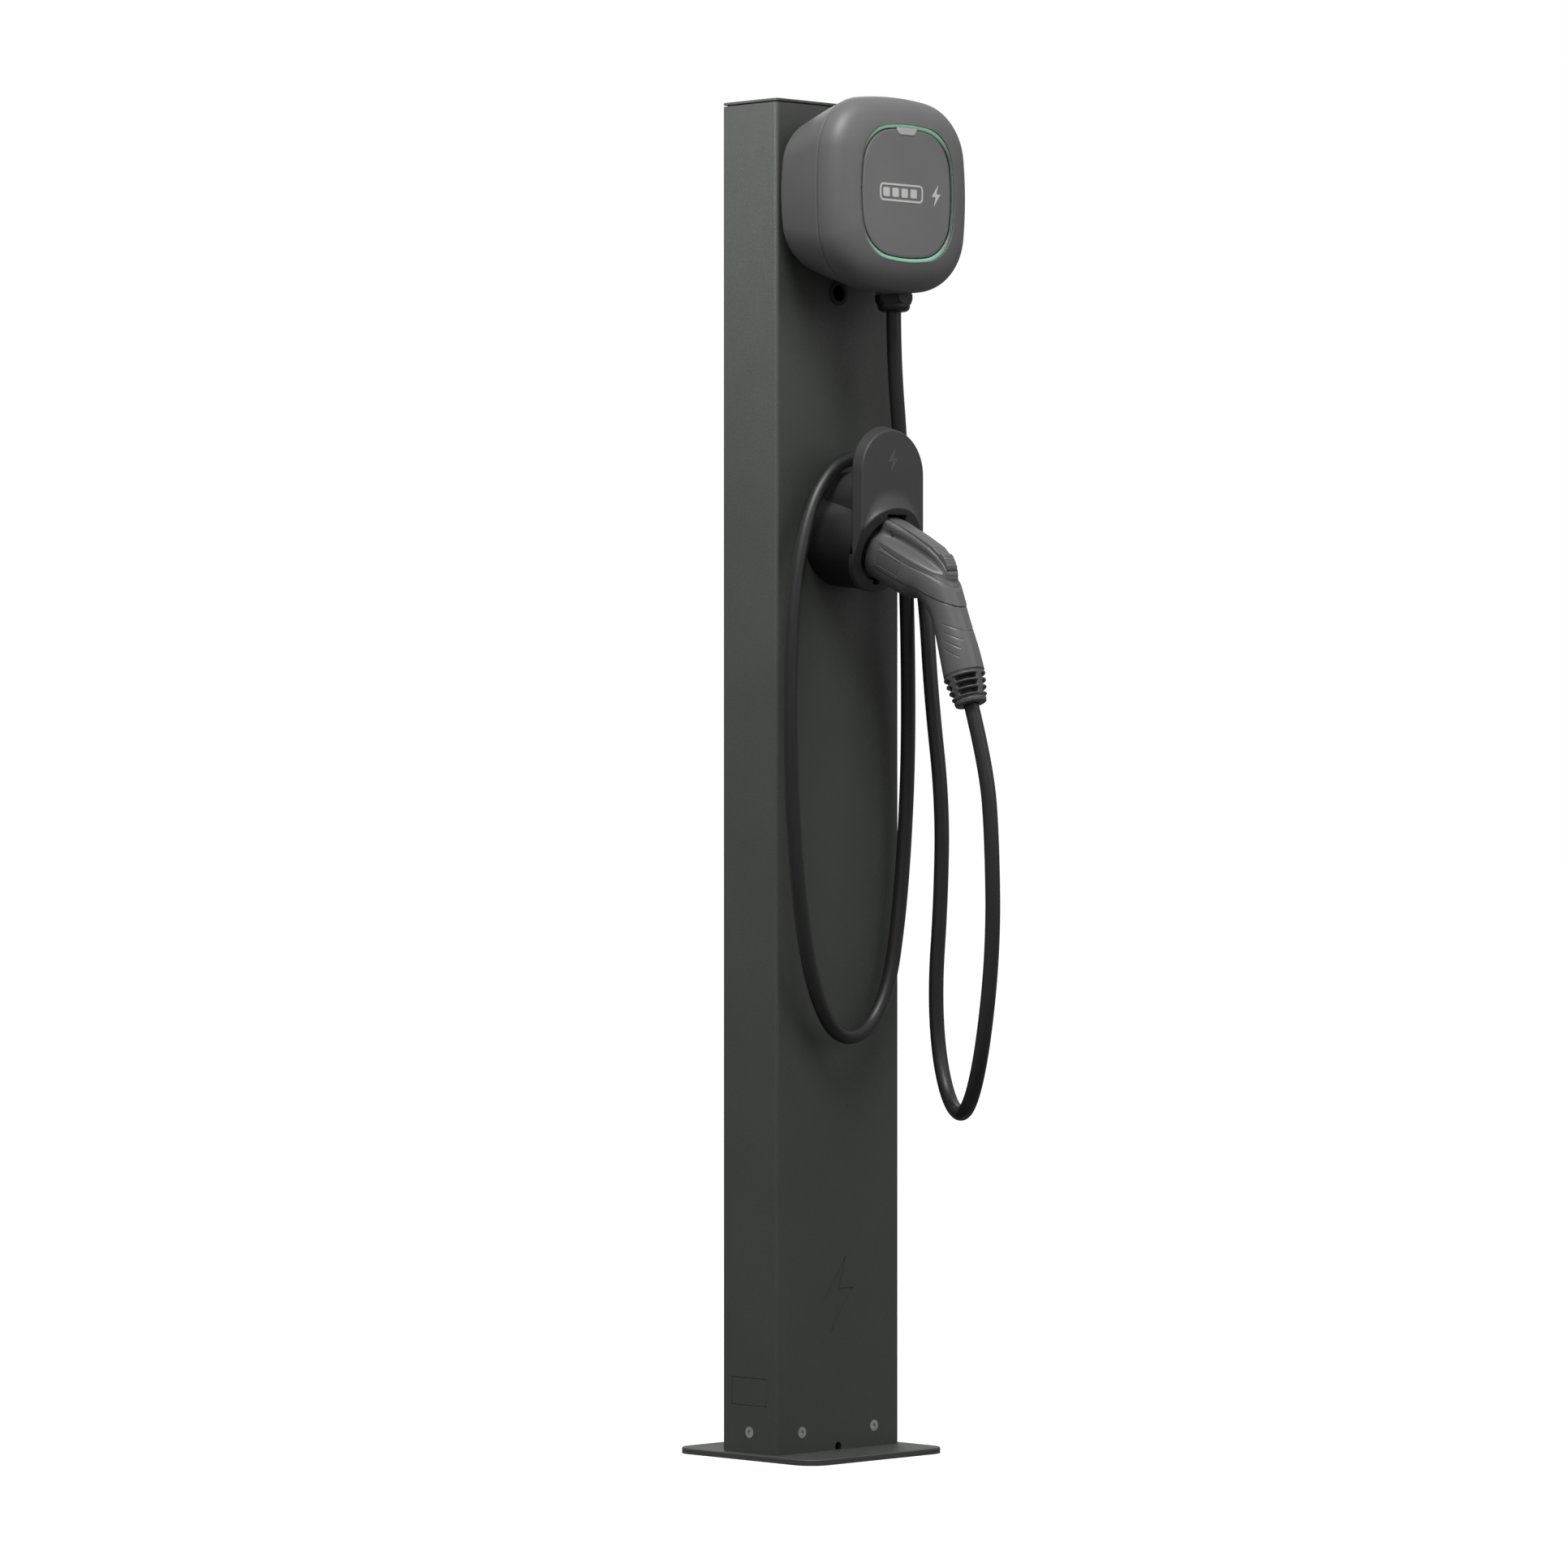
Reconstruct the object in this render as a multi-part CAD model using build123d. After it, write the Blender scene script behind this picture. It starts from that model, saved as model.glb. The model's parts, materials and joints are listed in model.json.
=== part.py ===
from build123d import *
import os
from math import acos, cos, pi, radians, sin, sqrt, tan

# EV charging post: a steel post on a base plate, a wall charger near its top, a holster below it and a
# charging cable that leaves the charger, loops over the holster and ends in the connector stored in it.
# Frame: millimetres, +Z up, origin at the centre of the base plate's underside, charger on the -Y side.

# ---- driving dimensions ----
BASE_SIZE = 200
BASE_THICK = 6
BASE_CORNER = 24
ANCHOR_RADIUS = 5.5
ANCHOR_X = 60
ANCHOR_Y = 20
CABLE_ENTRY_RADIUS = 22
STUD_PLACE = (-45, 25)
NOTCH_HEIGHT = 8

POST_WIDTH = 177
POST_DEPTH = 78
POST_WALL = 3
POST_CORNER = 4
POST_TOP = 1366
TOTAL_HEIGHT = 1370
CAP_THICK = 2.5
CAP_SCREW_X = 60
CAP_SCREW_Z = 1354
CABLE_HOLE_Z = 1178
CABLE_HOLE_RADIUS = 11
SUPPLY_HOLE_Z = 1222
SUPPLY_HOLE_RADIUS = 15
BLANK_HALF = 25
BLANK_LOW = 54
BLANK_HIGH = 82
MARK_Z = 163.5
MARK_HEIGHT = 78
FRONT = -POST_DEPTH / 2

SPIGOT_WALL = 3
SPIGOT_GAP = 0.3
SPIGOT_TOP = 66
SCREW_HEIGHT = 27
SCREW_X = 52

CHARGER_WIDTH = 201
CHARGER_HEIGHT = 197
CHARGER_Z = 1273
CHARGER_WALL = 3
CHARGER_BACK = -45
CHARGER_PARTING = -107
CHARGER_FRONT = -137
GASKET_THICK = 0.6
REAR_FILLET = 26
DOME_INSET = 38
RING_BACK = -130
RING_WIDTH = 136
RING_HEIGHT = 139
PANEL_WIDTH = 127
PANEL_HEIGHT = 128
PANEL_FACE = -135.5
BRACKET_SIZE = 112
BRACKET_THICK = 3
BRACKET_HOLE = 42
HOOK_X = 24
HOOK_Z = 1311
LOCK_Z = 1232

CABLE_RADIUS = 7.5
GLAND_X = 29
GLAND_Y = -89
GLAND_SEAT = 1175
GLAND_PAD = 6.5
GLAND_NUT_TOP = 1165.5
GLAND_END = 1158

HOLSTER_RADIUS = 44.5
DRUM_BACK_RADIUS = 50
HOLSTER_WALL = 3
HOLSTER_TILT = radians(24)
COLLAR_Y = -107
COLLAR_Z = 916
DRUM_BACK_Z = 931
FLANGE_THICK = 4
HOLSTER_HOLE_X = 20
HOLSTER_HOLE_Z = 34
PLATE_BACK = -102
PLATE_FRONT = -116
PLATE_TOP = 1036
SADDLE_HALF = 30
SADDLE_TOP = 996
SOCKET_RADIUS = 33.5
SOCKET_DEPTH = 8

NOSE_RADIUS = 21.9
NOSE_LENGTH = 37
NOSE_BASE = 6
SHELL_WALL = 2.8
LEVER_HALF = 9.8
SLOT_HALF = 10.4
BOOT_START_RADIUS = 20.5
BOOT_END_RADIUS = 14.5
BOOT_LENGTH = 32.3
PLUG_LENGTH = 12

# The holster's own directions: OUT points out of the collar, UP is square to it in the mid plane.
OUT = Vector(0, -cos(HOLSTER_TILT), -sin(HOLSTER_TILT))
UP = Vector(0, -sin(HOLSTER_TILT), cos(HOLSTER_TILT))
COLLAR = Vector(0, COLLAR_Y, COLLAR_Z)

# The cable's route, from the gland round the left loop, over the saddle and round the right loop, to where
# the tail begins that moves with the connector. The tail ends square on the connector's boot, and begins
# where pulling the connector out draws it away from the loop's end.
LOOP_ROUTE = [
    (29, -89, 1158), (29, -89, 1112), (42, -86, 1020), (59, -77, 905), (74, -66, 800), (82, -58, 700),
    (80, -54, 610), (74, -52, 542), (61, -51, 472), (28, -53, 428), (-22, -60, 423), (-58, -65, 464),
    (-82, -69, 534), (-97, -70, 640), (-101, -69, 770), (-90, -66, 885), (-66, -63, 957), (-36, -61, 995),
    (-4, -59, 1012), (32, -59, 1006), (61, -61, 976), (81, -72, 928), (73, -92, 862), (67, -105, 770),
    (67, -121, 660), (61, -124, 560), (58, -119, 475), (58, -124, 405), (46, -152, 355), (10, -208, 348),
    (1, -227, 378),
]
TAIL_ROUTE = [
    (1, -227, 378), (-8, -246, 408), (-7, -261, 520), (-3, -255, 630), (0, -244.8, 696.6), (0, -224.1, 759.3),
]


# ---- helpers ----
def block(x, y, z):
    """A box between two X, two Y and two Z values."""
    centre = [(low + high) / 2 for low, high in (x, y, z)]
    size = [abs(high - low) for low, high in (x, y, z)]
    return Pos(*centre) * Box(*size)


def rod(start, direction, radius, length):
    """A cylinder from a point, along a direction."""
    return Plane(origin=start, z_dir=direction) * Cylinder(
        radius, length, align=(Align.CENTER, Align.CENTER, Align.MIN)
    )


def tube(start, direction, outer, inner, length):
    """A hollow cylinder from a point, along a direction."""
    return rod(start, direction, outer, length) - rod(start, direction, inner, length)


def taper(start, direction, first, last, length):
    """A cone frustum from a point, along a direction."""
    return Plane(origin=start, z_dir=direction) * Cone(
        first, last, length, align=(Align.CENTER, Align.CENTER, Align.MIN)
    )


def hexagon(start, direction, across_flats, length):
    """A hexagonal prism from a point, along a direction."""
    outline = RegularPolygon(across_flats / 2, 6, major_radius=False)
    return extrude(Plane(origin=start, z_dir=direction) * outline, length)


def facing(y, x=0, z=0):
    """A plane facing -Y, with its own X along +X and its own Y up."""
    return Plane(origin=(x, y, z), x_dir=(1, 0, 0), z_dir=(0, -1, 0))


def squircle(plane, width, height, corner=62, bow=9, inset=0):
    """A closed outline of four long bowed sides and four corner arcs, all tangent, moved inwards by inset."""
    half = (width / 2, height / 2)
    side_radius = [((half[1 - i] * 0.8) ** 2 + bow**2) / (2 * bow) for i in (0, 1)]
    right = (half[0] - side_radius[0], 0)
    top = (0, half[1] - side_radius[1])
    reach_right = side_radius[0] - corner
    reach_top = side_radius[1] - corner
    # The corner arc's centre is where the two side arcs, brought in by the corner radius, cross.
    span = sqrt(right[0] ** 2 + top[1] ** 2)
    along = (reach_right**2 - reach_top**2 + span**2) / (2 * span)
    off = sqrt(reach_right**2 - along**2)
    step = ((top[0] - right[0]) / span, (top[1] - right[1]) / span)
    middle = (right[0] + along * step[0] - off * step[1], right[1] + along * step[1] + off * step[0])
    angle_right = acos((middle[0] - right[0]) / reach_right)
    angle_top = acos((middle[1] - top[1]) / reach_top)
    r = corner - inset
    start = (middle[0] + r * cos(angle_right), middle[1] + r * sin(angle_right))
    mid_angle = (angle_right + pi / 2 - angle_top) / 2
    mid = (middle[0] + r * cos(mid_angle), middle[1] + r * sin(mid_angle))
    end = (middle[0] + r * sin(angle_top), middle[1] + r * cos(angle_top))
    east = (half[0] - inset, 0)
    north = (0, half[1] - inset)

    def flip(point, x_sign, y_sign):
        return (point[0] * x_sign, point[1] * y_sign)

    arcs = [
        ThreePointArc(flip(start, 1, -1), east, start),
        ThreePointArc(start, mid, end),
        ThreePointArc(end, north, flip(end, -1, 1)),
        ThreePointArc(flip(end, -1, 1), flip(mid, -1, 1), flip(start, -1, 1)),
        ThreePointArc(flip(start, -1, 1), flip(east, -1, 1), flip(start, -1, -1)),
        ThreePointArc(flip(start, -1, -1), flip(mid, -1, -1), flip(end, -1, -1)),
        ThreePointArc(flip(end, -1, -1), flip(north, 1, -1), flip(end, 1, -1)),
        ThreePointArc(flip(end, 1, -1), flip(mid, 1, -1), flip(start, 1, -1)),
    ]
    return plane * make_face(Wire(arcs))


def charger_outline(y, inset=0):
    return squircle(facing(y, 0, CHARGER_Z), CHARGER_WIDTH, CHARGER_HEIGHT, inset=inset)


def panel_outline(y, width, height, inset=0):
    return squircle(facing(y, 0, CHARGER_Z), width, height, corner=44, bow=7, inset=inset)


def bolt_outline(plane, height):
    """A generic lightning bolt."""
    points = [(0.14, 0.5), (-0.28, -0.06), (-0.02, -0.06), (-0.14, -0.5), (0.28, 0.08), (0.02, 0.08)]
    scaled = [(x * height, y * height) for x, y in points]
    return plane * make_face(Polyline(*scaled, close=True))


def in_holster(along, up=0, x=0):
    """A point given by its distance out of the collar and its height square to that."""
    return COLLAR + OUT * along + UP * up + Vector(x, 0, 0)


def collar_plane(along=0, up=0):
    """A plane square to the collar's axis, facing out, with its own Y along UP."""
    return Plane(origin=in_holster(along, up), x_dir=(1, 0, 0), z_dir=OUT)


def save(name, *solids):
    """Writes one node: a solid, or a group of separate solids."""
    export_step(solids[0] if len(solids) == 1 else Compound(children=list(solids)), f"parts/{name}.step")


# ---- base ----
def make_base():
    plate = extrude(RectangleRounded(BASE_SIZE, BASE_SIZE, BASE_CORNER), BASE_THICK)
    plate = chamfer(plate.faces().sort_by(Axis.Z)[-1].edges(), 0.8)
    plate -= rod((0, 0, 0), (0, 0, 1), CABLE_ENTRY_RADIUS, BASE_THICK)
    for x in (-ANCHOR_X, ANCHOR_X):
        for y in (-ANCHOR_Y, ANCHOR_Y):
            plate -= rod((x, y, 0), (0, 0, 1), ANCHOR_RADIUS, BASE_THICK)
    save("base_plate", plate)

    width = POST_WIDTH - 2 * POST_WALL - 2 * SPIGOT_GAP
    depth = POST_DEPTH - 2 * POST_WALL - 2 * SPIGOT_GAP
    height = SPIGOT_TOP - BASE_THICK
    spigot = extrude(RectangleRounded(width, depth, 2), height)
    spigot -= extrude(RectangleRounded(width - 2 * SPIGOT_WALL, depth - 2 * SPIGOT_WALL, 1), height)
    spigot = Pos(0, 0, BASE_THICK) * spigot
    for start, direction in base_screw_axes():
        spigot -= rod(start, direction, 3.0, 2 * POST_WALL + SPIGOT_WALL)
    spigot -= drain_notch(5.5, 2)
    save("base_spigot", spigot)

    stud = rod((*STUD_PLACE, BASE_THICK), (0, 0, 1), 3, 22)
    save("earth_stud", stud + hexagon((*STUD_PLACE, BASE_THICK + 4), (0, 0, 1), 10, 5))


def base_screw_axes():
    """Where each foot screw enters the post, and its direction: two in front, two behind, one each side."""
    axes = []
    for side in (-1, 1):
        axes += [((x, side * POST_DEPTH / 2, SCREW_HEIGHT), (0, -side, 0)) for x in (-SCREW_X, SCREW_X)]
        axes.append(((side * POST_WIDTH / 2, 0, SCREW_HEIGHT), (-side, 0, 0)))
    return axes


def countersunk_screw(start, direction, head, shank, length):
    """A flat-headed socket screw whose head is flush with the surface at start."""
    sink = head - shank
    screw = taper(start, direction, head, shank, sink) + rod(start, direction, shank, length)
    return screw - hexagon(start, direction, 4, 1.8)


def drain_notch(half_width, extra=0):
    """The round-topped notch at the foot of the front face."""
    height = NOTCH_HEIGHT + extra
    low = FRONT - 1
    high = FRONT + POST_WALL + SPIGOT_GAP + SPIGOT_WALL + 1
    notch = block((-half_width, half_width), (low, high), (BASE_THICK, BASE_THICK + height - half_width))
    return notch + rod((0, low, BASE_THICK + height - half_width), (0, 1, 0), half_width, high - low)


# ---- post ----
def make_post():
    height = POST_TOP - BASE_THICK
    post = extrude(RectangleRounded(POST_WIDTH, POST_DEPTH, POST_CORNER), height)
    inner = (POST_WIDTH - 2 * POST_WALL, POST_DEPTH - 2 * POST_WALL)
    post -= extrude(RectangleRounded(*inner, POST_CORNER - POST_WALL + 0.2), height)
    post = Pos(0, 0, BASE_THICK) * post
    for start, direction in base_screw_axes():
        post -= taper(start, direction, 5.8, 3.2, 2.6) + rod(start, direction, 3.2, POST_WALL)
    post -= drain_notch(4.5)
    post -= rod((0, FRONT, CABLE_HOLE_Z), (0, 1, 0), CABLE_HOLE_RADIUS, POST_WALL)
    post -= rod((0, FRONT, SUPPLY_HOLE_Z), (0, 1, 0), SUPPLY_HOLE_RADIUS, POST_WALL)
    for x, z in bracket_holes() + holster_holes():
        post -= rod((x, FRONT, z), (0, 1, 0), 4.6, POST_WALL)
    for x in (-CAP_SCREW_X, CAP_SCREW_X):
        post -= rod((x, POST_DEPTH / 2, CAP_SCREW_Z), (0, -1, 0), 2.2, POST_WALL)
    side = (-POST_WIDTH / 2, -POST_WIDTH / 2 + POST_WALL)
    post -= block(side, (-BLANK_HALF, BLANK_HALF), (BLANK_LOW, BLANK_HIGH))
    post -= extrude(bolt_outline(facing(FRONT, 0, MARK_Z), MARK_HEIGHT), -0.6)
    save("post_body", post)

    blank_face = -POST_WIDTH / 2 + 0.2
    gap = 0.4
    half = BLANK_HALF - gap
    blank = block((blank_face, blank_face + 2.5), (-half, half), (BLANK_LOW + gap, BLANK_HIGH - gap))
    for y in (-18, 18):
        width = (y - 5, y + 5)
        tongue = block((blank_face + 2.5, blank_face + 8), width, (BLANK_HIGH - 6, BLANK_HIGH - 3.6))
        blank += tongue + block((blank_face + 3.4, blank_face + 5), width, (BLANK_HIGH - 3.6, BLANK_HIGH + 2))
    save("side_entry_blank", blank)

    plate_low = TOTAL_HEIGHT - CAP_THICK
    cap = Pos(0, 0, plate_low) * extrude(RectangleRounded(POST_WIDTH, POST_DEPTH, POST_CORNER), CAP_THICK)
    cap = fillet(cap.faces().sort_by(Axis.Z)[-1].edges(), 0.8)
    skirt = extrude(RectangleRounded(inner[0] - 0.8, inner[1] - 0.8, 1), 27)
    skirt -= extrude(RectangleRounded(inner[0] - 6, inner[1] - 6, 1), 27)
    cap += Pos(0, 0, plate_low - 27) * skirt
    for x in (-CAP_SCREW_X, CAP_SCREW_X):
        cap -= rod((x, POST_DEPTH / 2, CAP_SCREW_Z), (0, -1, 0), 2, 8)
    save("post_cap", cap)

    screws = []
    for x in (-CAP_SCREW_X, CAP_SCREW_X):
        back = (x, POST_DEPTH / 2, CAP_SCREW_Z)
        socket = (x, POST_DEPTH / 2 + 0.8, CAP_SCREW_Z)
        head = rod(back, (0, 1, 0), 3.8, 2.2) - hexagon(socket, (0, 1, 0), 2.5, 1.4)
        screws.append(head + rod(back, (0, -1, 0), 1.95, 9))
    save("cap_screws", *screws)

    axes = base_screw_axes()
    save("base_screws", *[countersunk_screw(start, direction, 5.7, 2.95, 12) for start, direction in axes])

    bore = CABLE_HOLE_RADIUS - 2.5
    ring = tube((0, FRONT - 1.2, CABLE_HOLE_Z), (0, 1, 0), CABLE_HOLE_RADIUS + 1.4, bore, 1.2)
    ring += tube((0, FRONT, CABLE_HOLE_Z), (0, 1, 0), CABLE_HOLE_RADIUS - 0.05, bore, POST_WALL)
    ring += tube((0, FRONT + POST_WALL, CABLE_HOLE_Z), (0, 1, 0), CABLE_HOLE_RADIUS + 1, bore, 1.5)
    save("cable_grommet", ring)


# ---- charger mounting ----
def bracket_holes():
    pitch = (-BRACKET_HOLE, BRACKET_HOLE)
    return [(x, CHARGER_Z + z) for x in pitch for z in pitch]


def rivet_nut(x, z):
    """A blind threaded insert set in the post's front wall."""
    nut = tube((x, FRONT, z), (0, 1, 0), 4.5, 3.0, 15)
    return nut + tube((x, FRONT + POST_WALL, z), (0, 1, 0), 6, 4.5, 2.5)


def button_screw(x, y, z, length):
    """A low-headed socket screw seated at y, pointing to the back."""
    screw = rod((x, y, z), (0, -1, 0), 5.2, 2.7)
    screw = fillet(screw.faces().sort_by(Axis.Y)[0].edges(), 1.4)
    screw += rod((x, y, z), (0, 1, 0), 2.9, length)
    return screw - hexagon((x, y - 2.7, z), (0, 1, 0), 4, 1.6)


def make_charger_mount():
    face = FRONT - BRACKET_THICK
    back = (0, 1, 0)
    outline = facing(FRONT, 0, CHARGER_Z) * RectangleRounded(BRACKET_SIZE, BRACKET_SIZE, 8)
    plate = extrude(outline, BRACKET_THICK)
    plate -= rod((0, face, SUPPLY_HOLE_Z), back, SUPPLY_HOLE_RADIUS, BRACKET_THICK)
    for x, z in bracket_holes():
        plate -= rod((x, face, z), back, 3.3, BRACKET_THICK)
    for x in (-HOOK_X, HOOK_X):
        plate += block((x - 9, x + 9), (-50.5, face), (HOOK_Z, HOOK_Z + 3))
        plate += block((x - 9, x + 9), (-50.5, -48.1), (HOOK_Z + 3, HOOK_Z + 9))
        plate -= rod((x, face, LOCK_Z), back, 2.0, BRACKET_THICK)
    save("charger_bracket", plate)
    save("bracket_screws", *[button_screw(x, face, z, 16) for x, z in bracket_holes()])
    save("bracket_rivet_nuts", *[rivet_nut(x, z) for x, z in bracket_holes()])


# ---- charger ----
def dome_inset(share):
    """How far the front cover's outline has moved in at a share of the cover's depth."""
    return DOME_INSET * (1 - sqrt(1 - share**2))


def dome(start, end, extra):
    """The front cover's domed form, its outline moved in by extra all over."""
    shares = (0, 0.4, 0.65, 0.82, 0.93, 0.985, 1)
    faces = [charger_outline(start + (end - start) * share, dome_inset(share) + extra) for share in shares]
    return loft(faces)


def make_charger():
    back_inner = CHARGER_BACK - CHARGER_WALL
    shell = extrude(charger_outline(CHARGER_BACK), CHARGER_BACK - CHARGER_PARTING)
    shell = fillet(shell.faces().sort_by(Axis.Y)[-1].edges(), REAR_FILLET)
    hollow = extrude(charger_outline(back_inner, CHARGER_WALL), back_inner - CHARGER_PARTING)
    hollow = fillet(hollow.faces().sort_by(Axis.Y)[-1].edges(), REAR_FILLET - CHARGER_WALL)
    outer_form = shell
    shell -= hollow
    down = (0, 0, -1)
    front = (0, -1, 0)
    shell += rod((GLAND_X, GLAND_Y, GLAND_SEAT + GLAND_PAD), down, 21, GLAND_PAD) & block(
        (-100, 100), (CHARGER_PARTING, -40), (GLAND_SEAT, 1300)
    )
    shell -= rod((GLAND_X, GLAND_Y, 1200), down, 12.3, 60)
    shell -= rod((GLAND_X, GLAND_Y, GLAND_SEAT), down, 30, 20)
    for x, z in cover_screw_places():
        shell += rod((x, back_inner + 1, z), front, 6.5, -(-98 - back_inner - 1)) & outer_form
        shell -= rod((x, CHARGER_BACK + 1, z), front, 4.2, 50)
        shell -= rod((x, -90, z), front, 2.2, 9)
    for x in (-HOOK_X, HOOK_X):
        shell -= block((x - 10, x + 10), (-50, -44), (HOOK_Z - 6.5, HOOK_Z + 3))
        shell -= rod((x, -44, LOCK_Z), front, 2.2, 5)
    shell -= rod((0, -44, SUPPLY_HOLE_Z), front, 13, 6)
    for x in (-50, 50):
        for z in (-34, 34):
            shell += rod((x, back_inner, CHARGER_Z + z), front, 3.5, 12)
    save("charger_rear_shell", shell)

    gasket_back = CHARGER_PARTING
    gasket = extrude(charger_outline(gasket_back, 1), GASKET_THICK)
    gasket -= extrude(charger_outline(gasket_back, CHARGER_WALL), GASKET_THICK)
    save("cover_gasket", gasket)

    cover_back = CHARGER_PARTING - GASKET_THICK
    cover = dome(cover_back, CHARGER_FRONT, 0)
    window = extrude(panel_outline(-120, RING_WIDTH, RING_HEIGHT), 30)
    cover_form = cover
    cover -= dome(cover_back, CHARGER_FRONT + CHARGER_WALL, CHARGER_WALL)
    cover -= window
    boss_space = cover_form + block((-99, 99), (cover_back, -90), (1180, 1366)) - window
    boss_space -= extrude(panel_outline(-125, RING_WIDTH, RING_HEIGHT, -4.5), 9)
    for x, z in cover_screw_places():
        cover += rod((x, -98.3, z), front, 5.2, 34) & boss_space
        cover -= rod((x, -98.3, z), front, 1.7, 15)
    save("charger_front_cover", cover)
    save("cover_screws", *[cover_screw(x, z) for x, z in cover_screw_places()])
    locks = []
    for x in (-HOOK_X, HOOK_X):
        locks.append(rod((x, -48, LOCK_Z), front, 4, 2.2) + rod((x, -48, LOCK_Z), (0, 1, 0), 1.95, 8.8))
    save("lock_screws", *locks)


def cover_screw_places():
    return [(x, CHARGER_Z + z) for x in (-64, 64) for z in (-61, 61)]


def cover_screw(x, z):
    front = (0, -1, 0)
    screw = rod((x, -86, z), front, 3.6, 4) + rod((x, -90, z), front, 1.65, 20)
    return screw - hexagon((x, -86, z), front, 3, 2)


def make_panel():
    ring = extrude(panel_outline(RING_BACK, RING_WIDTH, RING_HEIGHT, 0.2), 6.3)
    ring += extrude(panel_outline(RING_BACK, RING_WIDTH, RING_HEIGHT, -3), 1.6)
    ring -= extrude(panel_outline(-132.4, PANEL_WIDTH, PANEL_HEIGHT, -0.15), 9)
    ring -= extrude(panel_outline(RING_BACK, PANEL_WIDTH, PANEL_HEIGHT, 4), 9)
    save("light_ring", ring)

    panel = extrude(panel_outline(-132.4, PANEL_WIDTH, PANEL_HEIGHT), -132.4 - PANEL_FACE)
    save("front_panel", panel)

    tag_top = CHARGER_Z + PANEL_HEIGHT / 2 - 0.6
    outline = Polyline((-15, 0), (15, 0), (11.5, -7.5), (-11.5, -7.5), close=True)
    save("panel_tag", extrude(facing(PANEL_FACE, 0, tag_top) * make_face(outline), 0.4))

    icon = [extrude(bolt_outline(facing(PANEL_FACE, 42, CHARGER_Z), 22), 0.25)]
    gauge = facing(PANEL_FACE, -8, CHARGER_Z)
    frame = gauge * RectangleRounded(62, 18, 5) - gauge * RectangleRounded(58, 14, 3)
    icon.append(extrude(frame, 0.25))
    for step in range(4):
        bar = facing(PANEL_FACE, -29.5 + 13 * step, CHARGER_Z) * RectangleRounded(9, 9, 1.5)
        icon.append(extrude(bar, 0.25))
    save("panel_icon", *icon)

    board_back = RING_BACK + 2.5
    board = extrude(panel_outline(board_back, RING_WIDTH, RING_HEIGHT, -3), 1.6)
    board -= extrude(panel_outline(board_back, PANEL_WIDTH, PANEL_HEIGHT, 6), 1.6)
    for x, z in [(x, CHARGER_Z + z) for x in (-30, 0, 30) for z in (-64.5, 64.5)]:
        board += block((x - 1.75, x + 1.75), (RING_BACK, board_back - 1.6), (z - 1.75, z + 1.75))
    for x, z in [(x, CHARGER_Z + z) for x in (-62.5, 62.5) for z in (-30, 0, 30)]:
        board += block((x - 1.75, x + 1.75), (RING_BACK, board_back - 1.6), (z - 1.75, z + 1.75))
    save("led_board", board)


def make_electronics():
    board_back = -60
    board = block((-56, 56), (board_back - 1.6, board_back), (1228, 1322))
    for x in (-50, 50):
        for z in (-34, 34):
            board -= rod((x, board_back - 1.6, CHARGER_Z + z), (0, 1, 0), 1.6, 1.6)
    save("main_board", board)
    face = board_back - 1.6
    save("power_relays", *[block((x - 15, x + 15), (face - 24, face), (1288, 1302)) for x in (-20, 20)])
    save("current_sensor", tube((-22, face, 1262), (0, -1, 0), 15, 8, 14))
    terminals = block((-6, 42), (face - 18, face), (1235, 1253))
    for step in range(5):
        terminals -= rod((-1.2 + 9.6 * step, face - 18, 1244), (0, 1, 0), 2.6, 6)
    save("terminal_block", terminals)

    seal = tube((0, CHARGER_BACK, SUPPLY_HOLE_Z), (0, -1, 0), 12.9, 4, 3)
    seal += tube((0, CHARGER_BACK - CHARGER_WALL, SUPPLY_HOLE_Z), (0, -1, 0), 15.5, 4, 2)
    save("supply_entry_seal", seal)


# ---- cable gland ----
def make_gland():
    down = (0, 0, -1)
    seat = (GLAND_X, GLAND_Y, GLAND_SEAT)
    top = (GLAND_X, GLAND_Y, GLAND_SEAT + 15)
    body = hexagon(seat, down, 34, GLAND_SEAT - GLAND_NUT_TOP) + rod(top, down, 12, 15)
    body = body & taper((GLAND_X, GLAND_Y, GLAND_SEAT + 16), down, 30, 17.2, 16 + GLAND_SEAT - GLAND_NUT_TOP)
    save("gland_body", body - rod(top, down, 9.5, 40))
    nut = rod((GLAND_X, GLAND_Y, GLAND_NUT_TOP), down, 16.5, GLAND_NUT_TOP - GLAND_END)
    nut = fillet(nut.faces().sort_by(Axis.Z)[0].edges(), 5.5)
    save("gland_nut", nut - rod(top, down, 9.5, 40))
    seal = tube((GLAND_X, GLAND_Y, GLAND_SEAT), down, 9.3, 5, GLAND_SEAT - GLAND_END)
    save("gland_seal", seal)
    locknut = hexagon((GLAND_X, GLAND_Y, GLAND_SEAT + GLAND_PAD + 5), down, 30, 5)
    save("gland_locknut", locknut - rod(top, down, 12.1, 20))


# ---- holster ----
def holster_holes():
    across = (-HOLSTER_HOLE_X, HOLSTER_HOLE_X)
    return [(x, DRUM_BACK_Z + z) for x in across for z in (-HOLSTER_HOLE_Z, HOLSTER_HOLE_Z)]


def circle_at(plane, radius):
    return plane * Circle(radius)


def beyond_collar(along):
    """Everything further out than a plane square to the collar's axis."""
    return collar_plane(along) * Box(400, 400, 300, align=(Align.CENTER, Align.CENTER, Align.MIN))


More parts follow.
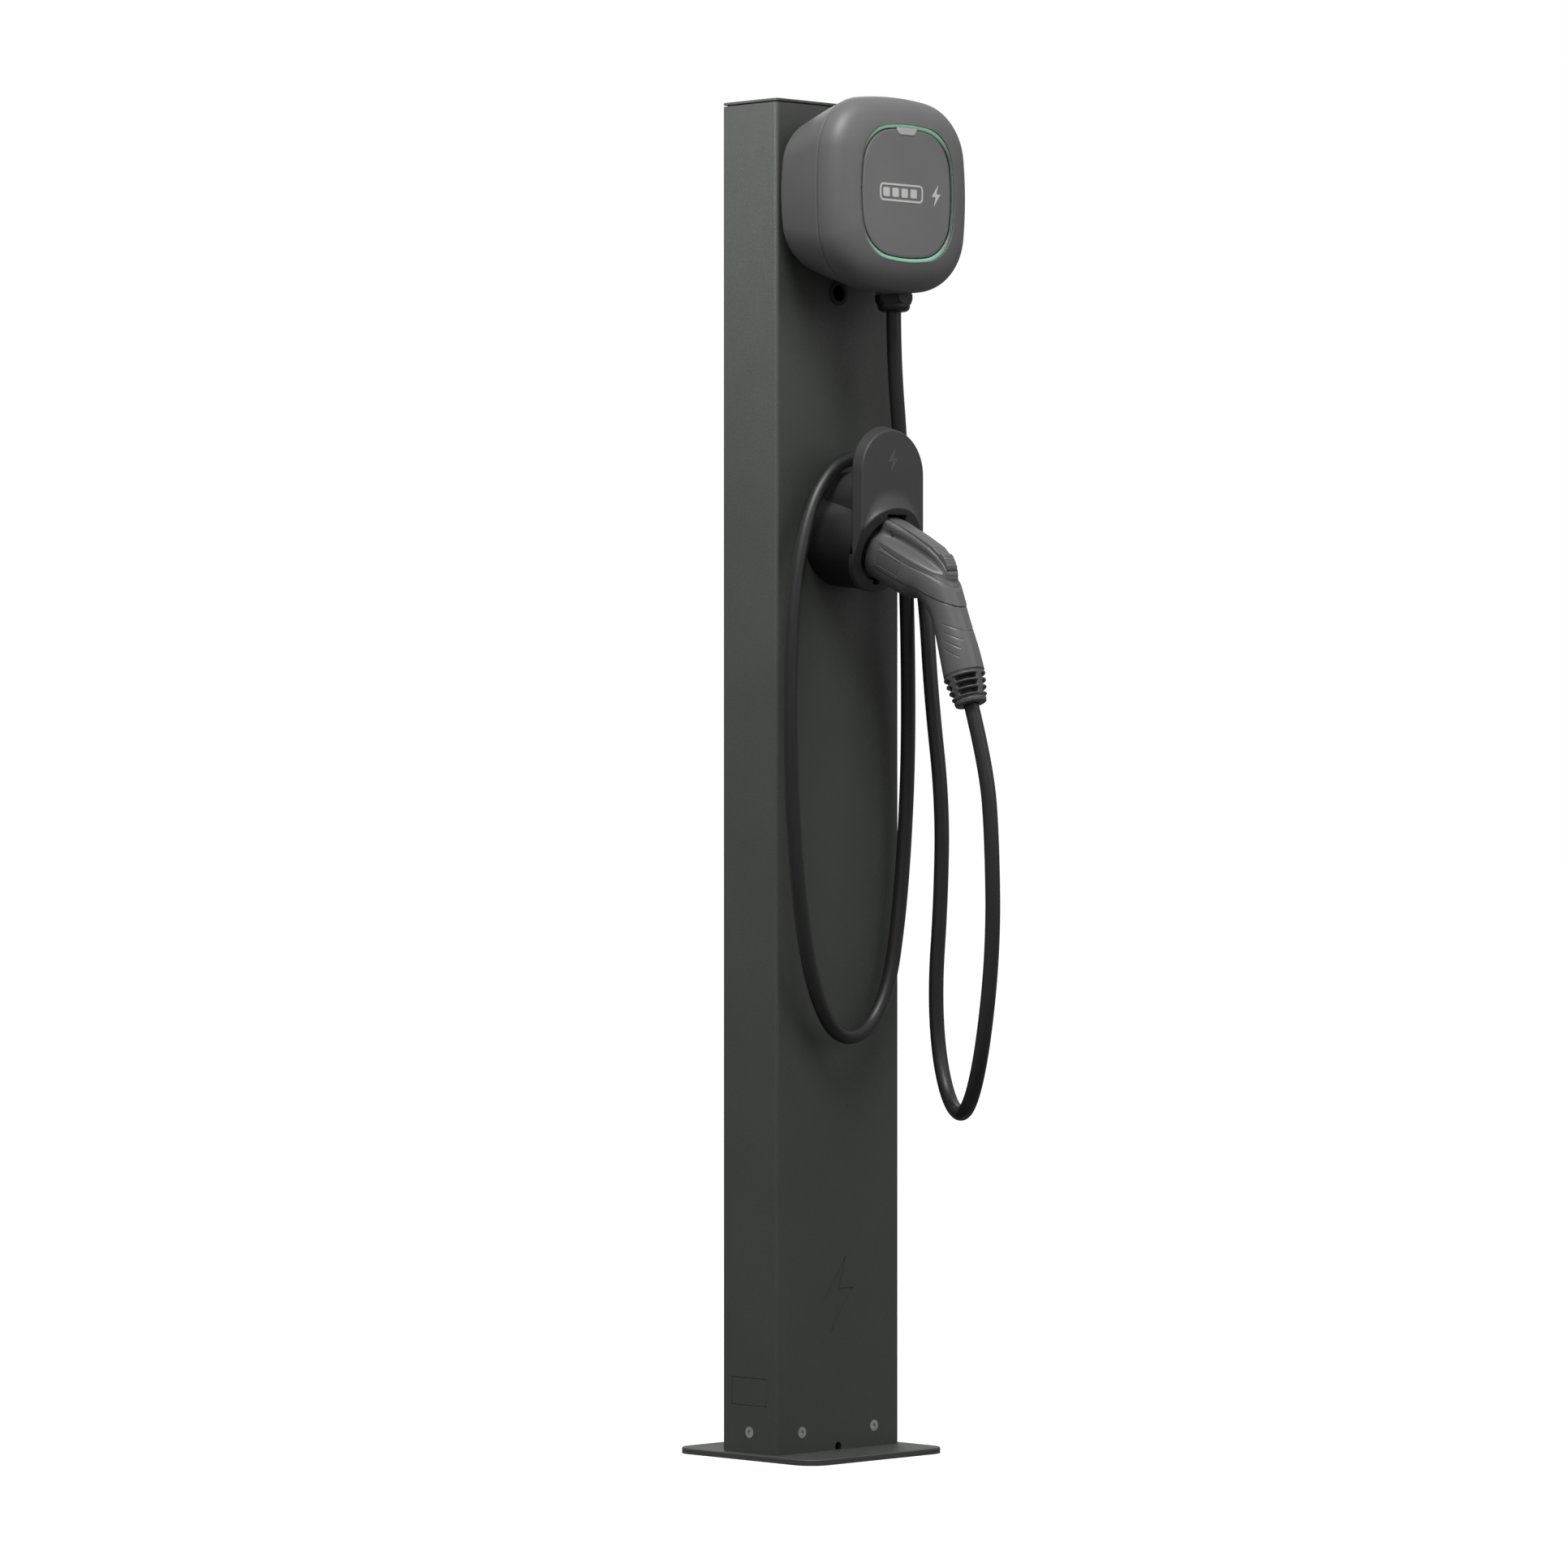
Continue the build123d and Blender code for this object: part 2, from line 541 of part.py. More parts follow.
def make_holster():
    back = facing(FRONT, 0, DRUM_BACK_Z)
    drum = loft([circle_at(back, DRUM_BACK_RADIUS), circle_at(collar_plane(), HOLSTER_RADIUS)])
    inner_back = facing(FRONT - FLANGE_THICK, 0, DRUM_BACK_Z)
    hollow_back = circle_at(inner_back, DRUM_BACK_RADIUS - HOLSTER_WALL)
    drum_hollow = loft([hollow_back, circle_at(collar_plane(2), HOLSTER_RADIUS - HOLSTER_WALL)])
    behind_plate = block((-60, 60), (PLATE_BACK, FRONT), (850, 1050))
    ahead_of_back = block((-60, 60), (-200, PLATE_BACK), (850, 1050))

    arc_z = SADDLE_TOP - SADDLE_HALF
    low = DRUM_BACK_Z + 20
    saddle = block((-SADDLE_HALF, SADDLE_HALF), (PLATE_BACK, FRONT), (low, arc_z))
    saddle += rod((0, FRONT, arc_z), (0, -1, 0), SADDLE_HALF, FRONT - PLATE_BACK)
    half = SADDLE_HALF - HOLSTER_WALL
    saddle_hollow = block((-half, half), (PLATE_BACK, FRONT - FLANGE_THICK), (low, arc_z))
    reach = FRONT - FLANGE_THICK - PLATE_BACK
    saddle_hollow += rod((0, FRONT - FLANGE_THICK, arc_z), (0, -1, 0), half, reach)
    body = (drum & behind_plate) - beyond_collar(-6)
    body += saddle
    body -= (drum_hollow & behind_plate) + saddle_hollow
    for x, z in holster_holes():
        body -= rod((x, FRONT - FLANGE_THICK, z), (0, 1, 0), 3.2, FLANGE_THICK)
    for x, z in faceplate_screw_places():
        body += rod((x, FRONT, z), (0, -1, 0), 5.5, FRONT - PLATE_BACK)
        body -= rod((x, FRONT, z), (0, -1, 0), 3.8, 52)
        body -= rod((x, FRONT, z), (0, -1, 0), 2.1, 90)
    save("holster_body", body)

    plate = stadium_plate(PLATE_BACK, PLATE_FRONT, HOLSTER_RADIUS, PLATE_TOP, COLLAR_Z)
    collar_back = Plane(origin=COLLAR, x_dir=(1, 0, 0), z_dir=-OUT)
    flare_top = Plane(origin=(0, PLATE_FRONT + 4, 962), x_dir=(1, 0, 0), z_dir=(0, 1, 0))
    flare = loft([circle_at(collar_back, HOLSTER_RADIUS), circle_at(flare_top, HOLSTER_RADIUS)])
    plate = plate - beyond_collar(0) + (flare & ahead_of_back) + (drum & ahead_of_back)
    plate += (drum & beyond_collar(-6)) - ahead_of_back
    plate -= rod(in_holster(-40), OUT, SOCKET_RADIUS, 60)
    plate -= collar_plane(-12) * Pos(0, 28.5, 0) * Box(27, 17, 60)
    plate -= collar_plane(-4) * Pos(0, -30, 0) * Box(8, 15, 16)
    for x, z in faceplate_screw_places():
        plate -= rod((x, PLATE_BACK, z), (0, -1, 0), 1.6, 9)
    save("holster_faceplate", plate)

    screws = []
    for x, z in faceplate_screw_places():
        head = rod((x, FRONT - 52, z), (0, 1, 0), 3.5, 3) - hexagon((x, FRONT - 49, z), (0, -1, 0), 2.5, 1.5)
        screws.append(head + rod((x, FRONT - 52, z), (0, -1, 0), 1.55, 18.5))
    save("faceplate_screws", *screws)
    save("holster_screws", *[button_screw(x, FRONT - FLANGE_THICK, z, 17) for x, z in holster_holes()])
    save("holster_rivet_nuts", *[rivet_nut(x, z) for x, z in holster_holes()])

    face = -SOCKET_DEPTH
    liner = rod(in_holster(face), -OUT, SOCKET_RADIUS - 0.2, 3) + rod(in_holster(face), -OUT, 26, 42)
    tab = rod((0, PLATE_BACK + 3, 920), (0, -1, 0), 38, 3) & block((-40, 40), (PLATE_BACK, -90), (930, 950))
    liner += tab
    liner -= rod(in_holster(face), -OUT, NOSE_RADIUS + 0.5, 40)
    liner -= collar_plane(face - 20) * Pos(0, 32, 0) * Box(28, 18, 44)
    save("holster_liner", liner)
    save("holster_icon", extrude(bolt_outline(facing(PLATE_FRONT, 0, 1006), 26), 0.25))


def faceplate_screw_places():
    return [(-19, 976), (19, 976)]


def stadium_plate(back, front, radius, top, low):
    """The faceplate's upright pill shape, down to a height."""
    centre = top - radius
    plate = rod((0, back, centre), (0, -1, 0), radius, back - front)
    return plate + block((-radius, radius), (front, back), (low, centre))


# ---- connector ----
# Each station along the connector: distance out of the collar, height, downward turn in degrees, full
# height and full width of the oval section there.
STATIONS = [
    (-6, 1, 0, 62, 52), (20, 2, 0, 61, 52), (48, 1, 4, 57, 49), (72, -4, 18, 51, 44),
    (90, -14, 34, 45, 41), (106, -27, 44, 41, 39.5), (124, -45, 47.7, 39.5, 39), (149, -71.6, 47.7, 40, 40),
]
PIVOT = (13.4, 23.5)


def section_plane(along, up, turn):
    angle = radians(turn)
    normal = OUT * cos(angle) - UP * sin(angle)
    return Plane(origin=in_holster(along, up), x_dir=(1, 0, 0), z_dir=normal)


def connector_form(inset):
    """The connector's outer form, or its hollow when inset is the wall thickness."""
    faces = []
    for index, (along, up, turn, height, width) in enumerate(STATIONS):
        along += inset if index == 0 else 0
        outline = Ellipse(width / 2 - inset, height / 2 - inset)
        faces.append(section_plane(along, up, turn) * outline)
    return loft(faces)


def shell_screw_places():
    return [(22, -19), (60, -14), (94, -24), (116, -37)]


def make_connector():
    outer = connector_form(0)
    hollow = connector_form(SHELL_WALL)
    half_space = block((-100, 0), (-400, 100), (600, 1100))
    shells = outer - hollow
    for along, up in shell_screw_places():
        post = rod(in_holster(along, up, -30), (1, 0, 0), 4, 60)
        shells += post & outer
    pivot = in_holster(*PIVOT)
    for x in (-24, 10.6):
        shells += rod(pivot + Vector(x, 0, 0), (1, 0, 0), 4.5, 13.4) & outer
    shells -= rod(pivot - Vector(15, 0, 0), (1, 0, 0), 2.0, 30)
    slot = [(-8, 17), (-8, 45), (104, 45), (104, 2), (90, 2), (72, 12), (40, 17)]
    shells -= lever_prism(slot, SLOT_HALF)
    shells -= rod(in_holster(-10), OUT, NOSE_RADIUS + 0.15, 8)
    for along, up in shell_screw_places():
        start = in_holster(along, up)
        shells -= rod(start - Vector(14, 0, 0), (1, 0, 0), 1.25, 18)
        shells -= rod(start + Vector(4, 0, 0), (1, 0, 0), 1.7, 30)
        shells -= rod(start + Vector(10, 0, 0), (1, 0, 0), 3.2, 30)
    label = label_outline(-30)
    shells -= extrude(label, 40) & (outer - connector_form(0.6))
    left = shells & half_space
    right = shells - half_space
    save("connector_left_shell", largest(left))
    save("connector_right_shell", largest(right))
    inlay = (extrude(label_outline(-30, 0.3), 40) & (connector_form(0.25) - connector_form(0.6))) & half_space
    save("connector_label", largest(inlay))

    screws = []
    for along, up in shell_screw_places():
        seat = in_holster(along, up) + Vector(10, 0, 0)
        head = rod(seat, (1, 0, 0), 3, 2) - hexagon(seat + Vector(2, 0, 0), (-1, 0, 0), 2.5, 1.4)
        screws.append(head + rod(seat, (-1, 0, 0), 1.2, 22))
    save("shell_screws", *screws)

    reach = NOSE_BASE + NOSE_LENGTH
    barrel = rod(in_holster(0), -OUT, NOSE_RADIUS, reach) + rod(in_holster(0), -OUT, 22.9, NOSE_BASE / 2)
    barrel -= rod(in_holster(0), -OUT, 19.6, reach)
    save("nose_barrel", barrel)
    insert = rod(in_holster(0), -OUT, 19.5, 38)
    sleeves = []
    for x, up, radius in contact_places():
        insert -= rod(in_holster(0, up, x), -OUT, radius + 1.05, 36.5)
        insert -= rod(in_holster(0, up, x), -OUT, radius, 40)
        sleeve = rod(in_holster(4, up, x), -OUT, radius + 1, 40)
        sleeves.append(sleeve - rod(in_holster(-8, up, x), -OUT, radius, 40))
    save("contact_insert", insert)
    save("contact_sleeves", *sleeves)


def label_outline(x, shrink=0):
    """The blank label's outline on the connector's left side."""
    middle = in_holster(30, -4) + Vector(x, 0, 0)
    plane = Plane(origin=middle, x_dir=OUT, z_dir=(1, 0, 0))
    return plane * RectangleRounded(34 - shrink, 12 - shrink, 1.5)


def largest(shape):
    return shape.solids().sort_by(SortBy.VOLUME)[-1]


def contact_places():
    """The five contact sleeves of a Type 1 connector: x, height, bore radius."""
    return [(-7.8, 6.6, 1.8), (7.8, 6.6, 1.8), (0, -10.4, 1.4), (-10.4, -5.6, 0.75), (10.4, -5.6, 0.75)]


def lever_prism(points, half_width):
    """A profile in the connector's mid plane, drawn out to both sides."""
    plane = Plane(origin=in_holster(0, 0, -half_width), x_dir=OUT, z_dir=OUT.cross(UP))
    outline = plane * make_face(Polyline(*points, close=True))
    direction = Vector(1, 0, 0) if plane.z_dir.X > 0 else Vector(-1, 0, 0)
    if direction.X < 0:
        outline = Pos(2 * half_width, 0, 0) * outline
    return extrude(outline, 2 * half_width, dir=direction)


def make_latch():
    profile = [
        (-24, 23.2), (-19.5, 23.2), (-18.5, 26), (0, 26), (40, 25), (66, 21), (78, 16), (92, 6), (99, 9),
        (97, 18), (90, 24), (82, 28), (66, 31), (40, 33), (10, 34), (-6, 33.6), (-16, 32), (-24, 29),
    ]
    pivot = in_holster(*PIVOT)
    lever = lever_prism(profile, LEVER_HALF)
    lever += rod(pivot - Vector(4, 0, 0), (1, 0, 0), 4.4, 8)
    lever -= rod(pivot + Vector(4.2, 0, 0), (1, 0, 0), 4.6, 4.4)
    lever -= rod(pivot - Vector(12, 0, 0), (1, 0, 0), 2.05, 24)
    for along, up in ((84.5, 26.2), (88.5, 24), (92, 21.6)):
        lever -= rod(in_holster(along, up + 1.2, -9), (1, 0, 0), 1.1, 18)
    save("latch_lever", largest(lever))
    save("latch_pivot_pin", rod(pivot - Vector(14.5, 0, 0), (1, 0, 0), 1.95, 29))
    coil = tube(pivot + Vector(4.6, 0, 0), (1, 0, 0), 3.3, 2.3, 3.4)
    coil += rod(pivot + Vector(6.3, 0, 0) - UP * 2.8, OUT, 0.5, 9)
    save("latch_spring", coil)

    hollow = connector_form(SHELL_WALL)
    switch = collar_plane(50) * Pos(0, 12, 0) * Box(9, 8, 14)
    switch += rod(in_holster(52, 15.9), UP, 1.4, 2.6)
    switch += collar_plane(50) * Pos(0, 9, 0) * Box(60, 2, 14) & hollow
    save("proximity_switch", switch)

    axis = section_plane(*STATIONS[-1][:3])
    start = axis.origin
    forward = axis.z_dir
    boot = taper(start, forward, BOOT_START_RADIUS - 1.2, BOOT_END_RADIUS, BOOT_LENGTH)
    boot += rod(start - forward * PLUG_LENGTH, forward, 15.4, PLUG_LENGTH)
    for step in range(4):
        boot += rod(start + forward * (3 + 7 * step), forward, BOOT_START_RADIUS - 0.3 - 1.5 * step, 3)
    boot -= rod(start - forward * PLUG_LENGTH, forward, 5.6, PLUG_LENGTH + BOOT_LENGTH)
    save("strain_relief_boot", boot)
    grip = rod(start - forward * 24, forward, 30, 8) & hollow
    save("cable_clamp", grip - rod(start - forward * 24, forward, 5.6, 8))


# ---- cable ----
def cable_tube(name, route):
    """A round cable along straight runs joined by the largest tangent arcs its runs allow."""
    points = [Vector(*point) for point in route]
    runs = [after - before for before, after in zip(points, points[1:])]
    room = [0.45 * run.length for run in runs]
    # Only one arc reaches into the first and the last run.
    room[0] *= 2
    room[-1] *= 2
    radii = []
    for index, (before, after) in enumerate(zip(runs, runs[1:])):
        turn = radians(before.get_angle(after))
        radii.append(min(room[index], room[index + 1]) / tan(turn / 2))
    path = FilletPolyline(*points, radius=radii)
    section = Plane(origin=points[0], z_dir=runs[0]) * Circle(CABLE_RADIUS)
    cable = sweep(section, path=path)
    expected = pi * CABLE_RADIUS**2 * path.length
    print(name, "arc radii", [round(radius) for radius in radii])
    print(name, "length", round(path.length, 1), "volume share", round(cable.volume / expected, 4))
    save(name, cable)


os.makedirs("parts", exist_ok=True)
make_base()
make_post()
make_charger_mount()
make_charger()
make_panel()
make_electronics()
make_gland()
make_holster()
make_connector()
make_latch()
cable_tube("charging_cable", LOOP_ROUTE)
cable_tube("charging_cable_tail", TAIL_ROUTE)
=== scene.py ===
import json
import math

import bpy
import numpy as np
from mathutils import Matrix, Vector


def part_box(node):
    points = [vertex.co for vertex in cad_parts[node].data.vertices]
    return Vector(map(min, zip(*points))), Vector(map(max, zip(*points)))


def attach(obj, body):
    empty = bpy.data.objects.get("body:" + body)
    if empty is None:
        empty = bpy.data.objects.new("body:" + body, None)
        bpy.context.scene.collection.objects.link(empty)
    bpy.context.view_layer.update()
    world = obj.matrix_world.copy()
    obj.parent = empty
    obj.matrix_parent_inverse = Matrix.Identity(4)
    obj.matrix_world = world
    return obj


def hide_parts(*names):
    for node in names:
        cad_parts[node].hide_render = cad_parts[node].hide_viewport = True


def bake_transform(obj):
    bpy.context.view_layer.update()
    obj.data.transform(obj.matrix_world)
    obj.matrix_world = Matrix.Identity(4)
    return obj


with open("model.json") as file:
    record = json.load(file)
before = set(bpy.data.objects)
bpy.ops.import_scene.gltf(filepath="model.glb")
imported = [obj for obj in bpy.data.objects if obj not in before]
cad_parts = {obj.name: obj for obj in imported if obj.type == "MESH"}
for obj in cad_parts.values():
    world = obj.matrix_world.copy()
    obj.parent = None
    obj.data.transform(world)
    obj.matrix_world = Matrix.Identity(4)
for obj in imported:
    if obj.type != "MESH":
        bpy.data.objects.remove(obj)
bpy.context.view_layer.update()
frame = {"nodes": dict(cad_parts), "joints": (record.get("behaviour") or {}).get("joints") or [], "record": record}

# The looks of an EV charging post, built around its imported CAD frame. Fields and outlines are in millimetres,
# Blender objects in metres.
MM = 0.001
NODES = frame["nodes"]
MOUNTS = {mount["name"]: mount for mount in frame["record"]["mounts"]}
SLIDE = next(joint for joint in frame["joints"] if joint["name"] == "connector_slide")

# The holster's directions and the middle of its collar: the connector's nose reaches 43 mm in from there.
OUT = Vector(SLIDE["axis"]).normalized()
UP = Vector((0, OUT.z, -OUT.y))
NOSE_REACH = 0.043
COLLAR = Vector(MOUNTS["connector_nose"]["pos_m"]) + OUT * NOSE_REACH


# ---- camera ----
def make_camera():
    """A level long lens at 45 degrees to the post's front."""
    data = bpy.data.cameras.new("camera")
    data.lens = 150.3
    data.sensor_width = 36
    data.clip_end = 60
    camera = bpy.data.objects.new("camera", data)
    camera.location = (-4.731, -4.692, 0.6806)
    camera.rotation_euler = (math.radians(90), 0, math.radians(-45))
    bpy.context.scene.collection.objects.link(camera)
    bpy.context.scene.camera = camera


# ---- cable ----
CABLE_ROUTE = [
    (0.029, -0.089, 1.158), (0.029, -0.089, 1.112), (0.042, -0.086, 1.020), (0.059, -0.077, 0.905),
    (0.074, -0.066, 0.800), (0.082, -0.058, 0.700), (0.080, -0.054, 0.610), (0.074, -0.052, 0.542),
    (0.061, -0.051, 0.472), (0.028, -0.053, 0.428), (-0.022, -0.060, 0.423), (-0.058, -0.065, 0.464),
    (-0.082, -0.069, 0.534), (-0.097, -0.070, 0.640), (-0.101, -0.069, 0.770), (-0.090, -0.066, 0.885),
    (-0.066, -0.063, 0.957), (-0.036, -0.061, 0.995), (-0.004, -0.059, 1.012), (0.032, -0.059, 1.006),
    (0.061, -0.061, 0.976), (0.081, -0.072, 0.928), (0.073, -0.092, 0.862), (0.067, -0.105, 0.770),
    (0.067, -0.121, 0.660), (0.061, -0.124, 0.560), (0.058, -0.119, 0.475), (0.058, -0.124, 0.405),
    (0.046, -0.152, 0.355), (0.010, -0.208, 0.348), (-0.008, -0.246, 0.408), (-0.007, -0.261, 0.520),
    (-0.003, -0.255, 0.630), (0, -0.2448, 0.6966), (0, -0.2241, 0.7593),
]
CABLE_DIAMETER = 0.015


def make_cable():
    """One round cable on a smooth line through the route, from the gland to the connector's boot."""
    curve = bpy.data.curves.new("cable_line", "CURVE")
    curve.dimensions = "3D"
    curve.resolution_u = 24
    spline = curve.splines.new("NURBS")
    spline.points.add(len(CABLE_ROUTE) - 1)
    for point, place in zip(spline.points, CABLE_ROUTE):
        point.co = (*place, 1)
    spline.order_u = 3
    spline.use_endpoint_u = True
    line = bpy.data.objects.new("cable_line", curve)
    centre = bpy.data.meshes.new_from_object(line)
    path = [tuple(vertex.co) for vertex in centre.vertices]
    curve.bevel_depth = CABLE_DIAMETER / 2
    curve.bevel_resolution = 10
    curve.use_fill_caps = True
    mesh = bpy.data.meshes.new_from_object(line)
    bpy.data.objects.remove(line)
    bpy.data.curves.remove(curve)
    bpy.data.meshes.remove(centre)
    cable = bpy.data.objects.new("cable", mesh)
    bpy.context.scene.collection.objects.link(cable)
    finish_piece(cable, rubber("cable_jacket", (0.0125, 0.0125, 0.0135), 0.42))
    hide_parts("charging_cable", "charging_cable_tail")
    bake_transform(cable)
    return cable, path


# ---- materials ----
class Nodes:
    """A material's node tree, with short ways to add and join nodes."""

    def __init__(self, name):
        self.material = bpy.data.materials.get(name) or bpy.data.materials.new(name)
        self.material.use_nodes = True
        self.tree = self.material.node_tree
        self.tree.nodes.clear()
        self.shader = self.add("ShaderNodeBsdfPrincipled")
        output = self.add("ShaderNodeOutputMaterial")
        self.join(self.shader, "BSDF", output, "Surface")
        self.place = self.add("ShaderNodeTexCoord")

    def add(self, kind, **values):
        node = self.tree.nodes.new(kind)
        for key, value in values.items():
            setattr(node, key, value)
        return node

    def join(self, source, output, target, socket):
        self.tree.links.new(source.outputs[output], target.inputs[socket])

    def noise(self, scale, detail=3, rough=0.5, stretch=None):
        """Noise in the object's own space, scale in cells per metre."""
        node = self.add("ShaderNodeTexNoise")
        node.inputs["Scale"].default_value = scale
        node.inputs["Detail"].default_value = detail
        node.inputs["Roughness"].default_value = rough
        if stretch:
            mapping = self.add("ShaderNodeMapping")
            mapping.inputs["Scale"].default_value = stretch
            self.join(self.place, "Object", mapping, "Vector")
            self.join(mapping, "Vector", node, "Vector")
        else:
            self.join(self.place, "Object", node, "Vector")
        return node

    def spread(self, source, output, low, high):
        """Maps the middle of a noise to the range from low to high."""
        node = self.add("ShaderNodeMapRange")
        node.inputs["From Min"].default_value = 0.3
        node.inputs["From Max"].default_value = 0.7
        node.inputs["To Min"].default_value = low
        node.inputs["To Max"].default_value = high
        self.join(source, output, node, "Value")
        return node

    def colour(self, source, output, dark, light):
        """Mixes two colours by a noise and feeds the base colour."""
        node = self.add("ShaderNodeMix", data_type="RGBA")
        node.inputs["A"].default_value = (*dark, 1)
        node.inputs["B"].default_value = (*light, 1)
        self.join(source, output, node, "Factor")
        self.tree.links.new(node.outputs["Result"], self.shader.inputs["Base Color"])
        return node

    def bump(self, heights, distance, strength):
        """Bumps from a list of height sources, one after the other."""
        last = None
        for source, output in heights:
            node = self.add("ShaderNodeBump")
            node.inputs["Distance"].default_value = distance
            node.inputs["Strength"].default_value = strength
            self.join(source, output, node, "Height")
            if last:
                self.join(last, "Normal", node, "Normal")
            last = node
        self.join(last, "Normal", self.shader, "Normal")


def shade(colour, factor):
    return tuple(channel * factor for channel in colour)


def powder_coat(name, colour, rough):
    """Fine-textured powder coating: small orange-peel grains and a faint variation of tone."""
    nodes = Nodes(name)
    cloud = nodes.noise(9, 4)
    nodes.colour(nodes.spread(cloud, "Fac", 0, 1), "Result", shade(colour, 0.93), shade(colour, 1.07))
    grain = nodes.noise(620, 4, 0.6)
    fine = nodes.noise(1900, 2)
    nodes.join(nodes.spread(grain, "Fac", rough - 0.05, rough + 0.06), "Result", nodes.shader, "Roughness")
    nodes.bump([(grain, "Fac"), (fine, "Fac")], 0.0004, 0.35)
    return nodes.material


def moulded(name, colour, rough, grain_depth=0.12):
    """Injection-moulded plastic with a spark-eroded grain."""
    nodes = Nodes(name)
    cloud = nodes.noise(14, 3)
    nodes.colour(nodes.spread(cloud, "Fac", 0, 1), "Result", shade(colour, 0.95), shade(colour, 1.06))
    grain = nodes.noise(1700, 2, 0.6)
    nodes.join(nodes.spread(grain, "Fac", rough - 0.04, rough + 0.05), "Result", nodes.shader, "Roughness")
    nodes.bump([(grain, "Fac")], 0.00025, grain_depth)
    return nodes.material


def shaded_below(name, colour, rough, height, reach, share):
    """Moulded plastic with painted shade: darker below a height, with a faint mottle above it."""
    nodes = Nodes(name)
    split = nodes.add("ShaderNodeSeparateXYZ")
    nodes.join(nodes.place, "Object", split, "Vector")
    edge = nodes.add("ShaderNodeMapRange", interpolation_type="SMOOTHSTEP")
    edge.inputs["From Min"].default_value = height
    edge.inputs["From Max"].default_value = height + reach
    nodes.join(split, "Z", edge, "Value")
    cloud = nodes.noise(30, 3)
    mix = nodes.add("ShaderNodeMath", operation="MULTIPLY")
    nodes.join(edge, "Result", mix, 0)
    nodes.join(nodes.spread(cloud, "Fac", 0.85, 1), "Result", mix, 1)
    # Painted shade: below the height the colour falls to a share of itself.
    nodes.colour(mix, "Value", shade(colour, share), colour)
    grain = nodes.noise(1700, 2, 0.6)
    nodes.join(nodes.spread(grain, "Fac", rough - 0.04, rough + 0.05), "Result", nodes.shader, "Roughness")
    nodes.bump([(grain, "Fac")], 0.00025, 0.12)
    return nodes.material


def rubber(name, colour, rough):
    """Extruded rubber: faint streaks along its length and a satin skin."""
    nodes = Nodes(name)
    streaks = nodes.noise(240, 3, 0.5, (1, 1, 0.12))
    nodes.colour(nodes.spread(streaks, "Fac", 0, 1), "Result", shade(colour, 0.85), shade(colour, 1.2))
    grain = nodes.noise(1500, 2)
    nodes.join(nodes.spread(grain, "Fac", rough - 0.05, rough + 0.08), "Result", nodes.shader, "Roughness")
    nodes.bump([(streaks, "Fac"), (grain, "Fac")], 0.0002, 0.12)
    return nodes.material


def metal(name, colour, rough, stretch):
    """Plated or galvanised metal with a brushed grain."""
    nodes = Nodes(name)
    nodes.shader.inputs["Metallic"].default_value = 1
    brushed = nodes.noise(900, 3, 0.6, stretch)
    patches = nodes.noise(70, 2)
    nodes.colour(nodes.spread(patches, "Fac", 0, 1), "Result", shade(colour, 0.85), shade(colour, 1.1))
    nodes.join(nodes.spread(brushed, "Fac", rough - 0.08, rough + 0.1), "Result", nodes.shader, "Roughness")
    nodes.bump([(brushed, "Fac")], 0.0001, 0.2)
    return nodes.material


def light_guide(name, shaded_side_colour, end_colour, centre, reach):
    """The translucent light ring: dimmed along its sides by painted shade, where it sits deep in a narrow gap;
    green and glowing at its top and bottom.
    """
    nodes = Nodes(name)
    split = nodes.add("ShaderNodeSeparateXYZ")
    nodes.join(nodes.place, "Object", split, "Vector")
    offset = nodes.add("ShaderNodeMath", operation="SUBTRACT")
    offset.inputs[1].default_value = centre
    nodes.join(split, "Z", offset, 0)
    height = nodes.add("ShaderNodeMath", operation="ABSOLUTE")
    nodes.join(offset, "Value", height, 0)
    share = nodes.add("ShaderNodeMapRange", interpolation_type="SMOOTHSTEP")
    share.inputs["From Min"].default_value = reach * 0.5
    share.inputs["From Max"].default_value = reach
    nodes.join(height, "Value", share, "Value")
    mottle = nodes.noise(160, 2)
    # Painted shade: the sides take the dim colour, the top and bottom the ring's own green.
    base = nodes.colour(share, "Result", shaded_side_colour, end_colour)
    glow = nodes.add("ShaderNodeMath", operation="MULTIPLY")
    nodes.join(share, "Result", glow, 0)
    nodes.join(nodes.spread(mottle, "Fac", 0.3, 0.4), "Result", glow, 1)
    nodes.tree.links.new(base.outputs["Result"], nodes.shader.inputs["Emission Color"])
    nodes.join(glow, "Value", nodes.shader, "Emission Strength")
    nodes.join(nodes.spread(mottle, "Fac", 0.25, 0.35), "Result", nodes.shader, "Roughness")
    nodes.shader.inputs["Subsurface Weight"].default_value = 0.3
    nodes.shader.inputs["Subsurface Scale"].default_value = 0.002
    nodes.bump([(mottle, "Fac")], 0.0002, 0.15)
    return nodes.material


def board(name, colour):
    """Solder mask over copper: glossy, with faint square patches."""
    nodes = Nodes(name)
    patches = nodes.add("ShaderNodeTexVoronoi", distance="CHEBYCHEV")
    patches.inputs["Scale"].default_value = 260
    nodes.join(nodes.place, "Object", patches, "Vector")
    nodes.colour(patches, "Distance", shade(colour, 0.7), shade(colour, 1.5))
    grain = nodes.noise(1200, 2)
    nodes.join(nodes.spread(grain, "Fac", 0.25, 0.35), "Result", nodes.shader, "Roughness")
    nodes.bump([(patches, "Distance")], 0.0001, 0.2)
    return nodes.material


POST_GREEN = (0.047, 0.052, 0.046)
CHARGER_GREY = (0.118, 0.118, 0.119)
HOLSTER_GREY = (0.040, 0.039, 0.041)
CONNECTOR_GREY = (0.105, 0.105, 0.107)


